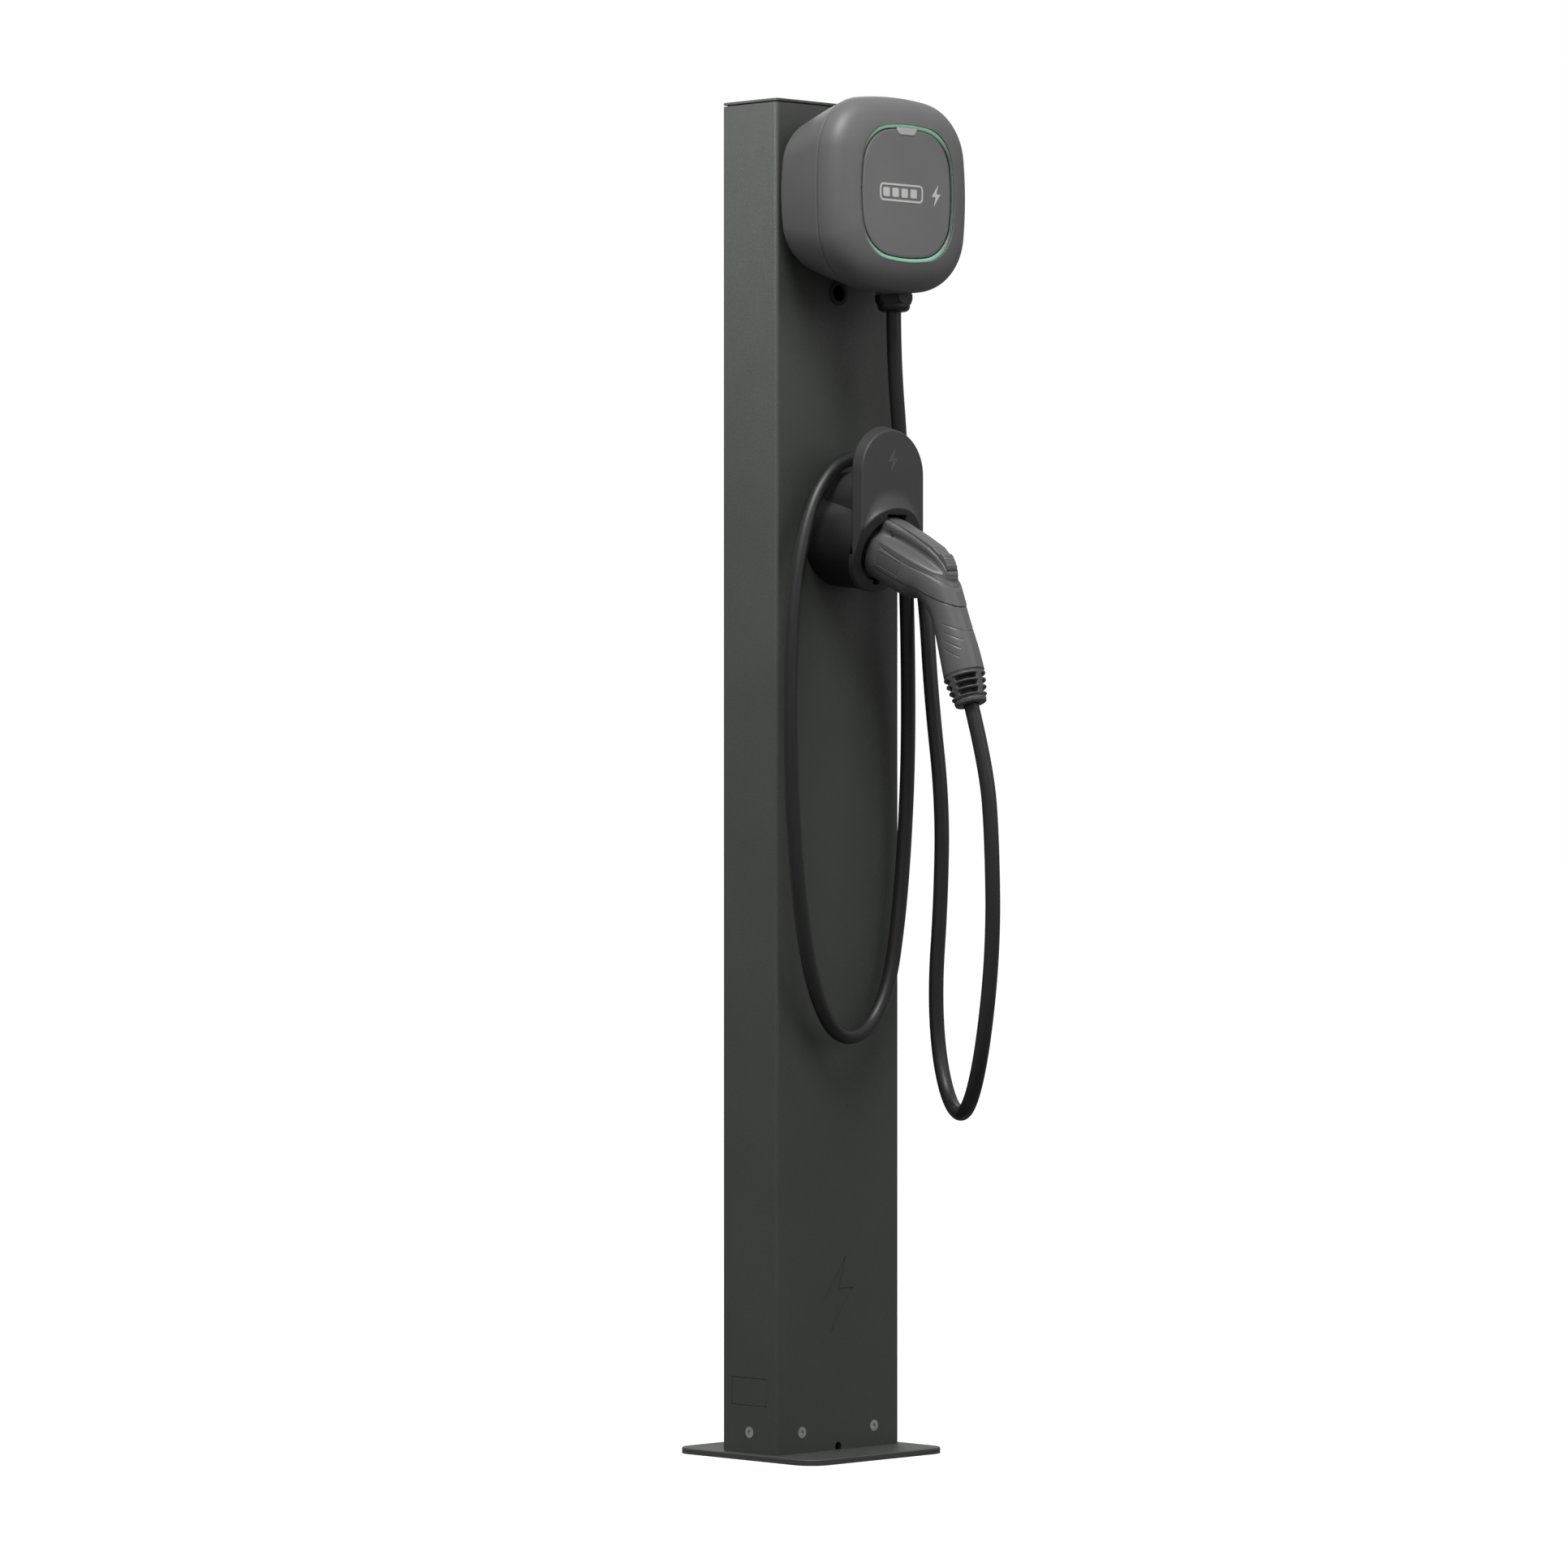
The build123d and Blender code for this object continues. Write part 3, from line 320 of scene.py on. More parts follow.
def paint_nodes():
    """Gives every CAD node that stays its finished material, by its slot in the record."""
    materials = {
        "post_paint": powder_coat("post_paint", POST_GREEN, 0.5),
        "bright_steel": metal("bright_steel", (0.55, 0.55, 0.53), 0.34, (1, 1, 0.3)),
        "bracket_zinc": metal("bracket_zinc", (0.42, 0.43, 0.44), 0.45, (1, 0.2, 1)),
        "charger_shell": moulded("charger_shell", CHARGER_GREY, 0.47),
        "charger_cover": moulded("charger_cover", CHARGER_GREY, 0.47),
        "light_ring": moulded("light_ring_cad", (0.2, 0.45, 0.33), 0.3),
        "front_panel": moulded("front_panel", shade(CHARGER_GREY, 1.2), 0.4, 0.05),
        "pale_mark": moulded("pale_mark", (0.52, 0.52, 0.51), 0.5, 0.05),
        "dim_mark": moulded("dim_mark", (0.075, 0.074, 0.076), 0.45, 0.05),
        "black_nylon": moulded("black_nylon", (0.012, 0.012, 0.013), 0.4),
        "black_rubber": rubber("black_rubber", (0.012, 0.012, 0.012), 0.6),
        "holster_plastic": moulded("holster_plastic", HOLSTER_GREY, 0.5),
        "connector_plastic": moulded("connector_plastic", CONNECTOR_GREY, 0.38),
        "contact_insulator": moulded("contact_insulator", (0.02, 0.02, 0.021), 0.35, 0.05),
        "contact_silver": metal("contact_silver", (0.7, 0.68, 0.62), 0.25, (1, 1, 0.3)),
        "boot_rubber": rubber("boot_rubber", (0.07, 0.07, 0.072), 0.5),
        "cable_jacket": rubber("cable_jacket_cad", (0.0125, 0.0125, 0.0135), 0.42),
        "circuit_board": board("circuit_board", (0.02, 0.14, 0.06)),
        "relay_case": moulded("relay_case", (0.03, 0.03, 0.035), 0.3),
        "terminal_plastic": moulded("terminal_plastic", (0.12, 0.26, 0.13), 0.4),
    }
    # The holster's body: a darker copy of the holster plastic, and darker still below 0.948 m, both painted shade.
    body = shaded_below("holster_body", shade(HOLSTER_GREY, 0.7), 0.55, 0.948, 0.012, 0.2)
    for part in frame["record"]["subparts"]:
        mesh = NODES[part["node"]].data
        mesh.materials.clear()
        mesh.materials.append(materials[part["material_slot"]])
    NODES["holster_body"].data.materials[0] = body
    return materials


# ---- pieces ----
def finish_piece(piece, material):
    """Smooth shading and the finished material."""
    piece.data.shade_smooth()
    piece.data.materials.clear()
    piece.data.materials.append(material)
    return piece


def mesh_piece(name, points, faces, material, slot, body, *replaced):
    """A piece from points in metres and faces, riding on a body."""
    mesh = bpy.data.meshes.new(name)
    mesh.from_pydata([tuple(point) for point in points], [], [tuple(face) for face in faces])
    mesh.validate()
    piece = bpy.data.objects.new(name, mesh)
    bpy.context.scene.collection.objects.link(piece)
    finish_piece(piece, material)
    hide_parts(*replaced)
    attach(piece, body)
    return piece


def bridge(rings, close_first=False, close_last=False):
    """Points and quads of a skin over rings of equal counts, with optional end caps."""
    count = len(rings[0])
    points = np.concatenate(rings)
    faces = []
    for ring in range(len(rings) - 1):
        for step in range(count):
            after = (step + 1) % count
            low, high = ring * count, (ring + 1) * count
            faces.append((low + step, low + after, high + after, high + step))
    if close_first:
        faces.append(tuple(range(count))[::-1])
    if close_last:
        faces.append(tuple(range((len(rings) - 1) * count, len(rings) * count)))
    return points, faces


# ---- fields: signed distances, negative inside, skinned into meshes ----
def blend_min(a, b, k):
    """Union with a fillet of about k."""
    share = np.clip(0.5 + 0.5 * (b - a) / k, 0, 1)
    return b + (a - b) * share - k * share * (1 - share)


def blend_max(a, b, k):
    """Intersection with a rounded edge of about k."""
    return -blend_min(-a, -b, k)


def step_up(value, start, end):
    """From 0 at start to 1 at end, smoothly."""
    share = np.clip((value - start) / (end - start), 0, 1)
    return share * share * (3 - 2 * share)


def outline_distance(a, u, points):
    """Signed distance to a closed outline in a plane."""
    best = np.inf
    sign = 1.0
    for (a0, u0), (a1, u1) in zip(points, points[1:] + points[:1]):
        edge_a, edge_u = a1 - a0, u1 - u0
        from_a, from_u = a - a0, u - u0
        share = np.clip((from_a * edge_a + from_u * edge_u) / (edge_a**2 + edge_u**2), 0, 1)
        best = np.minimum(best, (from_a - edge_a * share) ** 2 + (from_u - edge_u * share) ** 2)
        above, below, left = u >= u0, u < u1, edge_a * from_u > edge_u * from_a
        sign = np.where((above & below & left) | (~above & ~below & ~left), -sign, sign)
    return sign * np.sqrt(best)


def line_distance(a, u, points):
    """Distance to an open line in a plane."""
    best = np.inf
    for (a0, u0), (a1, u1) in zip(points, points[1:]):
        edge_a, edge_u = a1 - a0, u1 - u0
        share = np.clip(((a - a0) * edge_a + (u - u0) * edge_u) / (edge_a**2 + edge_u**2), 0, 1)
        best = np.minimum(best, np.hypot(a - a0 - edge_a * share, u - u0 - edge_u * share))
    return best


def prism(flat, x, half, radius):
    """A flat shape drawn out to both sides of the mid plane, its edges rounded."""
    d = flat + radius
    e = np.abs(x) - half + radius
    return np.minimum(np.maximum(d, e), 0) + np.hypot(np.maximum(d, 0), np.maximum(e, 0)) - radius


def skin(field, low, high, cell):
    """Points and quads of a field's zero surface: one point per crossed cell, then moved onto the surface."""
    axes = [np.arange(a, b + cell, cell) for a, b in zip(low, high)]
    grids = np.meshgrid(*axes, indexing="ij", sparse=True)
    value = np.broadcast_to(field(*grids), [len(axis) for axis in axes]).copy()
    inside = value < 0
    shape = np.array(value.shape) - 1
    total = np.zeros((*shape, 3))
    count = np.zeros(shape, int)
    crossings = []
    for axis in range(3):
        first = tuple(slice(None, -1) if i == axis else slice(None) for i in range(3))
        second = tuple(slice(1, None) if i == axis else slice(None) for i in range(3))
        crossed = inside[first] != inside[second]
        index = np.argwhere(crossed)
        before, after = value[first][crossed], value[second][crossed]
        point = np.array(low) + index * cell
        point[:, axis] += before / (before - after) * cell
        others = [i for i in range(3) if i != axis]
        corners = []
        for shift in ((-1, -1), (0, -1), (0, 0), (-1, 0)):
            owner = index.copy()
            owner[:, others[0]] += shift[0]
            owner[:, others[1]] += shift[1]
            np.add.at(total, tuple(owner.T), point)
            np.add.at(count, tuple(owner.T), 1)
            corners.append(owner)
        turned = inside[first][crossed] ^ (axis == 1)
        crossings.append((corners, turned))
    used = count > 0
    number = np.cumsum(used.ravel()).reshape(used.shape) - 1
    points = total[used] / count[used][:, None]
    faces = []
    for corners, turned in crossings:
        quad = np.stack([number[tuple(corner.T)] for corner in corners], axis=1)
        faces.append(np.where(turned[:, None], quad, quad[:, ::-1]))
    for _ in range(4):
        points = onto_surface(field, points, cell)
    return points, np.concatenate(faces)


def onto_surface(field, points, cell):
    """One step of each point along the field's slope, towards its zero surface."""
    reach = cell * 0.05
    here = field(*points.T)
    slope = np.empty_like(points)
    for axis in range(3):
        shift = np.zeros(3)
        shift[axis] = reach
        slope[:, axis] = (field(*(points + shift).T) - field(*(points - shift).T)) / (2 * reach)
    steep = np.maximum((slope**2).sum(1), 0.05)
    move = slope * (here / steep)[:, None]
    long = np.maximum(np.linalg.norm(move, axis=1) / (0.5 * cell), 1)
    return points - move / long[:, None]


def smooth_stations(stations, count):
    """Values along a list of stations, on a Catmull-Rom curve through them."""
    table = np.array(stations, float)
    padded = np.vstack([2 * table[0] - table[1], table, 2 * table[-1] - table[-2]])
    places = np.linspace(0, len(table) - 1, count)
    index = np.minimum(places.astype(int), len(table) - 2)
    t = (places - index)[:, None]
    p0, p1, p2, p3 = (padded[index + i] for i in range(4))
    curve = 2 * p1 + (p2 - p0) * t + (2 * p0 - 5 * p1 + 4 * p2 - p3) * t**2
    return (curve + (3 * p1 - p0 - 3 * p2 + p3) * t**3) / 2


# ---- connector ----
# Along the collar's axis, above it, downward turn in degrees, half height above and below, half width, and
# the power of the rounded section there.
BODY_STATIONS = [
    (-14, 1, 0, 20, 31, 26, 2.4), (8, 1, 0, 20, 31, 26, 2.4), (30, 1, 0, 20, 31.5, 26, 2.4),
    (54, 0.5, 5, 20, 31, 25, 2.4), (71, -3, 17, 21, 24.5, 23, 2.3), (86, -11, 31, 22, 18.5, 20.8, 2.2),
    (102, -21.5, 42, 18.8, 17.8, 18.8, 2.1), (119, -38, 47, 19, 19, 19, 2),
    (135, -55, 47.7, 20.3, 20.3, 20, 2), (149.3, -71.3, 47.7, 21, 21, 20.7, 2),
    (156, -78.7, 47.7, 21.2, 21.2, 21, 2),
]
BODY_LINE = smooth_stations(BODY_STATIONS, 260)
BODY_FRONT = -5
BOOT_PLACE = (149.0, -71.6)
BOOT_TURN = math.radians(47.7)
PIVOT = (13.4, 23.5)
RIDGE = [
    (-12, 5), (-12, 32.2), (10, 32.9), (40, 31.9), (62, 29.6), (76, 25.6), (86, 21), (92.5, 17.6),
    (96.6, 13.8), (98, 9.5), (95.5, 3), (84, -6), (60, -8), (20, 0),
]
RIDGE_HALF = 12.6
LEVER_SLOT = [(-14, 18), (-14, 45), (98, 45), (93.7, 22), (93.5, 12), (91, 8), (84, 9), (72, 14), (40, 18)]
LEVER_HALF = 9.8
SLOT_HALF = 10.35
# The lever and its housing grow narrower towards the thumb pad.
PAD_TAPER = 2.8
# Lines along the connector's side: the hollow under the lever's housing, and the shoulder below that.
HOLLOW_LINE = ((14, 43, 73, 95), (20.5, 20, 18.6, 16.6))
SHOULDER_LINE = ((9, 43, 67, 90, 107), (13.4, 12.2, 11.3, 11.4, 12.3))
# The two part lines of the shells, seen from the side: their heights at places along the connector.
UPPER_LINE = ((12, 30, 47, 64, 80, 96, 110), (8.2, 6.8, 5.6, 5.6, 5.8, 4.6, 0))
LOWER_LINE = ((12, 30, 60, 82, 98, 112, 128), (-12.8, -13.4, -13.2, -12.8, -12.6, -12.2, -11.6))
LABEL = ((14, 46), (-10, 3.6))
GRIP_LINES = [
    ((118, -31), (139, -30)), ((124, -38), (142, -37.5)),
    ((129, -45), (146, -45)), ((131, -52.5), (150, -53)),
]
SHELL_SCREWS = ((22, -19), (60, -14), (94, -24), (116, -37))


def in_connector(points):
    """From (along, up, x) in millimetres to the row frame in metres."""
    axes = np.array([OUT, UP, (1, 0, 0)], float)
    return points @ axes * MM + np.array(COLLAR, float)


def body_coordinates(a, u):
    """The nearest section of the connector's body, and the height above its middle."""
    best = np.full(np.broadcast(a, u).shape, np.inf)
    index = np.zeros(best.shape, int)
    for i, station in enumerate(BODY_LINE):
        distance = (a - station[0]) ** 2 + (u - station[1]) ** 2
        nearer = distance < best
        best = np.where(nearer, distance, best)
        index[nearer] = i
    along, up, turn, above, below, wide, power = (BODY_LINE[index, i] for i in range(7))
    turn = np.radians(turn)
    height = (a - along) * np.sin(turn) + (u - up) * np.cos(turn)
    return height, np.where(height > 0, above, below), wide, power


def body_field(a, u, x):
    """The connector's outer form, without its slot and grooves."""
    height, tall, wide, power = body_coordinates(a, u)
    level = ((np.abs(height) / tall) ** power + (np.abs(x) / wide) ** power) ** (1 / power)
    tube = (level - 1) * np.minimum(tall, wide)
    half = RIDGE_HALF + 3.2 * step_up(-a, -34, -4) - PAD_TAPER * step_up(a, 58, 92)
    half = half - 3.5 * step_up(a, 90, 101)
    ridge = prism(outline_distance(a, u, RIDGE), x, half, 4.2)
    form = blend_min(tube, ridge, 4.5)
    window = step_up(a, -2, 16) * step_up(-a, -104, -84) * step_up(np.abs(x), 8, 13)
    form = form + 1.9 * window * np.exp(-(((u - np.interp(a, *HOLLOW_LINE)) / 3.8) ** 2))
    return form - 1.3 * window * np.exp(-(((u - np.interp(a, *SHOULDER_LINE)) / 2.9) ** 2))


def groove(distance, width, depth):
    """A round-bottomed groove along a line at this distance."""
    return depth * np.exp(-((distance / width) ** 2))


def connector_surface(a, u, x):
    """The outer form with its part lines, label recess, grip lines and pin hole."""
    form = body_field(a, u, x)
    upper, lower = np.interp(a, *UPPER_LINE), np.interp(a, *LOWER_LINE)
    band = step_up(upper - u, -0.4, 0.4) * step_up(u - lower, -0.4, 0.4)
    form = form - 0.75 * band * step_up(a, 55, 92) * step_up(-a, -130, -118)
    form = form + groove(u - upper, 0.55, 0.5) * step_up(a, 12, 16)
    form = form + groove(u - lower, 0.6, 0.5) * step_up(a, 62, 84) * step_up(-a, -128, -120)
    lip = step_up(lower - u, 0, 1.2) * step_up(u - lower, -9, -1.2) * step_up(-a, -80, -50)
    form = form + 0.5 * lip * step_up(a, 8, 16)
    (label_start, label_end), (label_low, label_high) = LABEL
    edge = np.maximum(np.maximum(label_start - a, a - label_end), np.maximum(label_low - u, u - label_high))
    form = form + 0.45 * step_up(-edge, -0.4, 0.4) + groove(edge - 2.4, 0.5, 0.25) * step_up(-a, -46, -40)
    for line in GRIP_LINES:
        form = form + groove(line_distance(a, u, line), 0.5, 0.4)
    pin = np.hypot(a - PIVOT[0] + 1.5, u - PIVOT[1])
    form = form + 2.4 * step_up(-pin, -1.6, -1.2)
    return form


def shell_field(a, u, x, side):
    """One half of the connector's shell: hollow, slotted for the lever, and cut at the mid plane."""
    outer = connector_surface(a, u, x)
    form = blend_max(outer, -(body_field(a, u, x) + 2.8), 0.4)
    half = SLOT_HALF - PAD_TAPER * step_up(a, 58, 92)
    slot = np.maximum(outline_distance(a, u, LEVER_SLOT), np.abs(x) - half)
    form = blend_max(form, -slot, 0.7)
    form = blend_max(form, BODY_FRONT - a, 5)
    end = (a - BOOT_PLACE[0]) * math.cos(BOOT_TURN) - (u - BOOT_PLACE[1]) * math.sin(BOOT_TURN)
    form = blend_max(form, end, 0.8)
    if side > 0:
        for place in SHELL_SCREWS:
            bore = np.maximum(np.hypot(a - place[0], u - place[1]) - 3.2, 10 - x)
            form = blend_max(form, -bore, 0.5)
    return blend_max(form, 0.1 - x * side, 0.5)


LEVER = [
    (-24, 23.6), (-19.5, 23.4), (-18, 26), (0, 26), (40, 25.5), (62, 23), (74, 18), (84, 12), (91, 11),
    (92.6, 14), (92.8, 17.4), (91.4, 20.6), (86, 25), (81, 28.2), (78.5, 28.8), (76.5, 27.8), (66, 31),
    (40, 33.2), (10, 34.2), (-6, 33.6), (-16, 32), (-24, 29),
]


def lever_field(a, u, x):
    """The latch lever: a long tab with a raised thumb pad at its end."""
    half = LEVER_HALF - PAD_TAPER * step_up(a, 58, 92)
    form = prism(outline_distance(a, u, LEVER), x, half, 1.2)
    crown = 0.5 * (x / LEVER_HALF) ** 2 * step_up(u, 24, 30)
    form = form + crown
    for place in ((83.4, 26.7), (86.4, 24.7), (89.2, 22.4)):
        form = form + groove(np.hypot(a - place[0], u - place[1]), 0.6, 0.35)
    pivot = np.maximum(np.hypot(a - PIVOT[0], u - PIVOT[1]) - 2.1, np.abs(x) - 30)
    return blend_max(form, -pivot, 0.4)


def label_field(a, u, x):
    """The blank label: a thin skin that follows the shell's side."""
    (start, end), (low, high) = LABEL
    middle = ((start + end) / 2, (low + high) / 2)
    reach = (np.abs(a - middle[0]) - (end - start) / 2 + 1.9, np.abs(u - middle[1]) - (high - low) / 2 + 1.9)
    flat = np.hypot(np.maximum(reach[0], 0), np.maximum(reach[1], 0)) - 1.5
    skin_depth = np.abs(body_field(a, u, x) + 0.42) - 0.24
    return np.maximum(np.maximum(flat, skin_depth), x + 5)


# The boot's own frame: along its axis from the handle, then its two cross directions.
BOOT_LENGTH = 32.3
SLOT_PLACES = (7.0, 14.1, 21.2)
COLLAR_PLACE = 27.0


def boot_field(s, v, x):
    """The strain relief: a taper cut by three slots in each quarter, with a plain collar at its end."""
    radius = np.hypot(v, x)
    angle = np.abs(np.degrees(np.arctan2(np.abs(v), np.abs(x))) - 45)
    outer = 20.7 - 5.0 * np.clip(s / BOOT_LENGTH, 0, 1) ** 1.1
    form = radius - outer + groove(s - 1.4, 0.5, 0.5)
    ribbed = step_up(-angle, -40, -32)
    wave = 0.5 + 0.5 * np.cos(2 * np.pi * (s - SLOT_PLACES[0] + 3.55) / 7.1)
    form = form - 0.9 * ribbed * wave * step_up(s, 1.8, 3) * step_up(-s, -26, -24.6)
    for place in SLOT_PLACES:
        across = np.abs(s - place) - 2.5
        around = (angle - 34) * np.radians(radius)
        corner = np.hypot(np.maximum(across + 1.8, 0), np.maximum(around + 1.8, 0)) - 1.8
        slot = np.maximum(corner + np.minimum(np.maximum(across, around) + 1.8, 0), 9.2 - radius)
        form = blend_max(form, -slot, 0.7)
    form = form + groove(s - COLLAR_PLACE, 0.7, 1.0)
    form = blend_max(form, s - BOOT_LENGTH, 1.8)
    form = blend_max(form, -0.1 - s, 0.6)
    return blend_max(form, 8.0 - radius, 0.8)


def in_boot(points):
    """From the boot's own frame to the connector's."""
    s, v, x = points.T
    along = BOOT_PLACE[0] + s * math.cos(BOOT_TURN) + v * math.sin(BOOT_TURN)
    up = BOOT_PLACE[1] - s * math.sin(BOOT_TURN) + v * math.cos(BOOT_TURN)
    return np.stack([along, up, x], axis=1)


def make_connector(materials):
    plastic = materials["connector_plastic"]
    cell = 0.6
    sides = (("connector_left", -1, "connector_left_shell"), ("connector_right", 1, "connector_right_shell"))
    for name, side, node in sides:
        low = (BODY_FRONT - 2, -92, -28 if side < 0 else -1)
        high = (167, 37, 1 if side < 0 else 28)
        points, faces = skin(lambda a, u, x: shell_field(a, u, x, side), low, high, cell)
        mesh_piece(name, in_connector(points), faces, plastic, "connector_plastic", "connector", node)
    points, faces = skin(lever_field, (-26, 4, -11), (102, 37, 11), cell)
    mesh_piece("latch_tab", in_connector(points), faces, plastic, "connector_plastic", "latch", "latch_lever")
    points, faces = skin(label_field, (11, -13, -27), (49, 7, -20), 0.4)
    label = moulded("label_film", shade(CONNECTOR_GREY, 0.86), 0.38, 0.05)
    points = in_connector(points)
    mesh_piece("blank_label", points, faces, label, "connector_plastic", "connector", "connector_label")
    points, faces = skin(boot_field, (-1, -23, -23), (34, 23, 23), cell)
    boot = rubber("boot", (0.078, 0.078, 0.080), 0.48)
    points = in_connector(in_boot(points))
    mesh_piece("cable_boot", points, faces, boot, "boot_rubber", "connector", "strain_relief_boot")


# ---- holster ----
PLATE_HALF = 44.5
PLATE_FRONT_Y = -116
PLATE_BACK_Y = -102
PLATE_TOP_Z = 1036
DRUM_WALL_Y = -39
DRUM_WALL_Z = 931
SOCKET_RADIUS = 33.5
COLLAR_DEPTH = 30
# The drum grows by this share of its depth towards the wall.
DRUM_FLARE = 0.08
# Across and along the collar's face: the mouth the lever goes through, and the drain notch below it.
LEVER_MOUTH = (13.5, 29, 9)
NOTCH = (4, -30, 7.5)


def plate_field(x, y, z):
    """The holster's faceplate: an upright pill whose front swells into the tilted collar ring."""
    collar = [value / MM for value in COLLAR]
    along = (y - collar[1]) * OUT.y + (z - collar[2]) * OUT.z
    up = (y - collar[1]) * UP.y + (z - collar[2]) * UP.z
    slope = (DRUM_WALL_Z - collar[2]) / (DRUM_WALL_Y - collar[1])
    drum_z = z - collar[2] - (y - collar[1]) * slope
    drum = np.hypot(x, drum_z) - PLATE_HALF - DRUM_FLARE * np.maximum(y - collar[1], 0)
    centre = PLATE_TOP_Z + 0.5 - PLATE_HALF + 0.3 * (y - PLATE_FRONT_Y)
    pill = np.hypot(x, np.maximum(z - centre, 0)) - PLATE_HALF
    pill = np.maximum(pill, collar[2] - z)
    outline = np.minimum(pill, drum)
    fillet = 20 * np.maximum(1 - (np.abs(x) / 44) ** 3, 0.03)
    front = blend_min(PLATE_FRONT_Y - y, drum, fillet)
    form = blend_max(outline, front, 1.6)
    form = blend_max(form, along, 1.2)
    behind = np.where(z < collar[2] - 5, np.minimum(y - PLATE_BACK_Y, -(along + 6)), y - PLATE_BACK_Y)
    form = blend_max(form, behind, 0.6)
    openings = [(np.hypot(x, up) - SOCKET_RADIUS, COLLAR_DEPTH)]
    for (half, middle, tall), depth in ((LEVER_MOUTH, COLLAR_DEPTH), (NOTCH, 6)):
        openings.append((np.maximum(np.abs(x) - half, np.abs(up - middle) - tall), depth))
    for opening, depth in openings:
        form = blend_max(form, -np.maximum(opening, -(along + depth)), 0.9)
    return form


def make_faceplate(materials):
    low, high = (-46, -129, 868), (46, -80, 1043)
    points, faces = skin(plate_field, low, high, 0.9)
    plastic = materials["holster_plastic"]
    mesh_piece("holster_plate", points * MM, faces, plastic, "holster_plastic", "root", "holster_faceplate")


# ---- charger ----
ARC_STEPS = 14


def soft_outline(width, height, corner, bow, inset=0.0):
    """Points of a closed outline of four bowed sides and four corner arcs, all tangent, moved in by inset."""
    half = (width / 2, height / 2)
    radii = [((half[1 - i] * 0.8) ** 2 + bow**2) / (2 * bow) for i in (0, 1)]
    right, top = half[0] - radii[0], half[1] - radii[1]
    reach_right, reach_top = radii[0] - corner, radii[1] - corner
    span = math.hypot(right, top)
    along = (reach_right**2 - reach_top**2 + span**2) / (2 * span)
    off = math.sqrt(reach_right**2 - along**2)
    step = (-right / span, top / span)
    middle = (right + along * step[0] - off * step[1], along * step[1] + off * step[0])
    side_angle = math.acos((middle[0] - right) / reach_right)
    top_angle = math.acos((middle[1] - top) / reach_top)
    points = []
    for share in np.linspace(0, 1, ARC_STEPS, endpoint=False):
        angle = side_angle * share
        reach = radii[0] - inset
        points.append((right + reach * math.cos(angle), reach * math.sin(angle)))
    for share in np.linspace(0, 1, ARC_STEPS * 2, endpoint=False):
        angle = side_angle + (math.pi / 2 - top_angle - side_angle) * share
        points.append(tuple(m + (corner - inset) * f(angle) for m, f in zip(middle, (math.cos, math.sin))))
    for share in np.linspace(0, 1, ARC_STEPS, endpoint=False):
        angle = math.pi / 2 - top_angle * (1 - share)
        reach = radii[1] - inset
        points.append((reach * math.cos(angle), top + reach * math.sin(angle)))
    quarter = np.array(points)
    turned = []
    for x_sign, y_sign in ((1, 1), (-1, 1), (-1, -1), (1, -1)):
        part = quarter * (x_sign, y_sign)
        if x_sign * y_sign > 0:
            turned.append(part)
        else:
            mirrored = np.vstack([part[1:], [[0, y_sign * (half[1] - inset)]]])[::-1]
            turned.append(mirrored)
    return np.concatenate(turned)


def charger_ring(flat, y, centre_z):
    """A flat outline set upright at a depth, in metres."""
    return np.stack([flat[:, 0], np.full(len(flat), y), flat[:, 1] + centre_z], axis=1) * MM


CHARGER = (201, 197, 62, 9)
GLAND_PLACE = (CABLE_ROUTE[0][0] / MM, CABLE_ROUTE[0][1] / MM, 0)
REAR_TAPER = (7.9, 21.9)
REAR_ROUND = 8.7
RING_OUTER = (136.6, 138.8, 44, 7)
RING_INNER = (130.6, 131.4, 42, 7)
PANEL = (126.2, 129.2, 41, 6.8)
# The parting line's depth and gap, how far the cover's rounding reaches in, and the power of its curve.
PARTING_Y = -107.0
COVER_GAP = 0.45
COVER_REACH = 32.4
COVER_POWER = 2.25


def charger_frame():
    """The charger's centre height and the depths of its back, parting line, front and panel face."""
    rear, cover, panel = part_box("charger_rear_shell"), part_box("charger_front_cover"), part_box("front_panel")
    lowest, highest = cover[0], cover[1]
    centre = (lowest.z + highest.z) / 2 / MM
    back = min(abs(rear[0].y), abs(rear[1].y)) / MM
    return centre, -back, PARTING_Y, lowest.y / MM, panel[0].y / MM


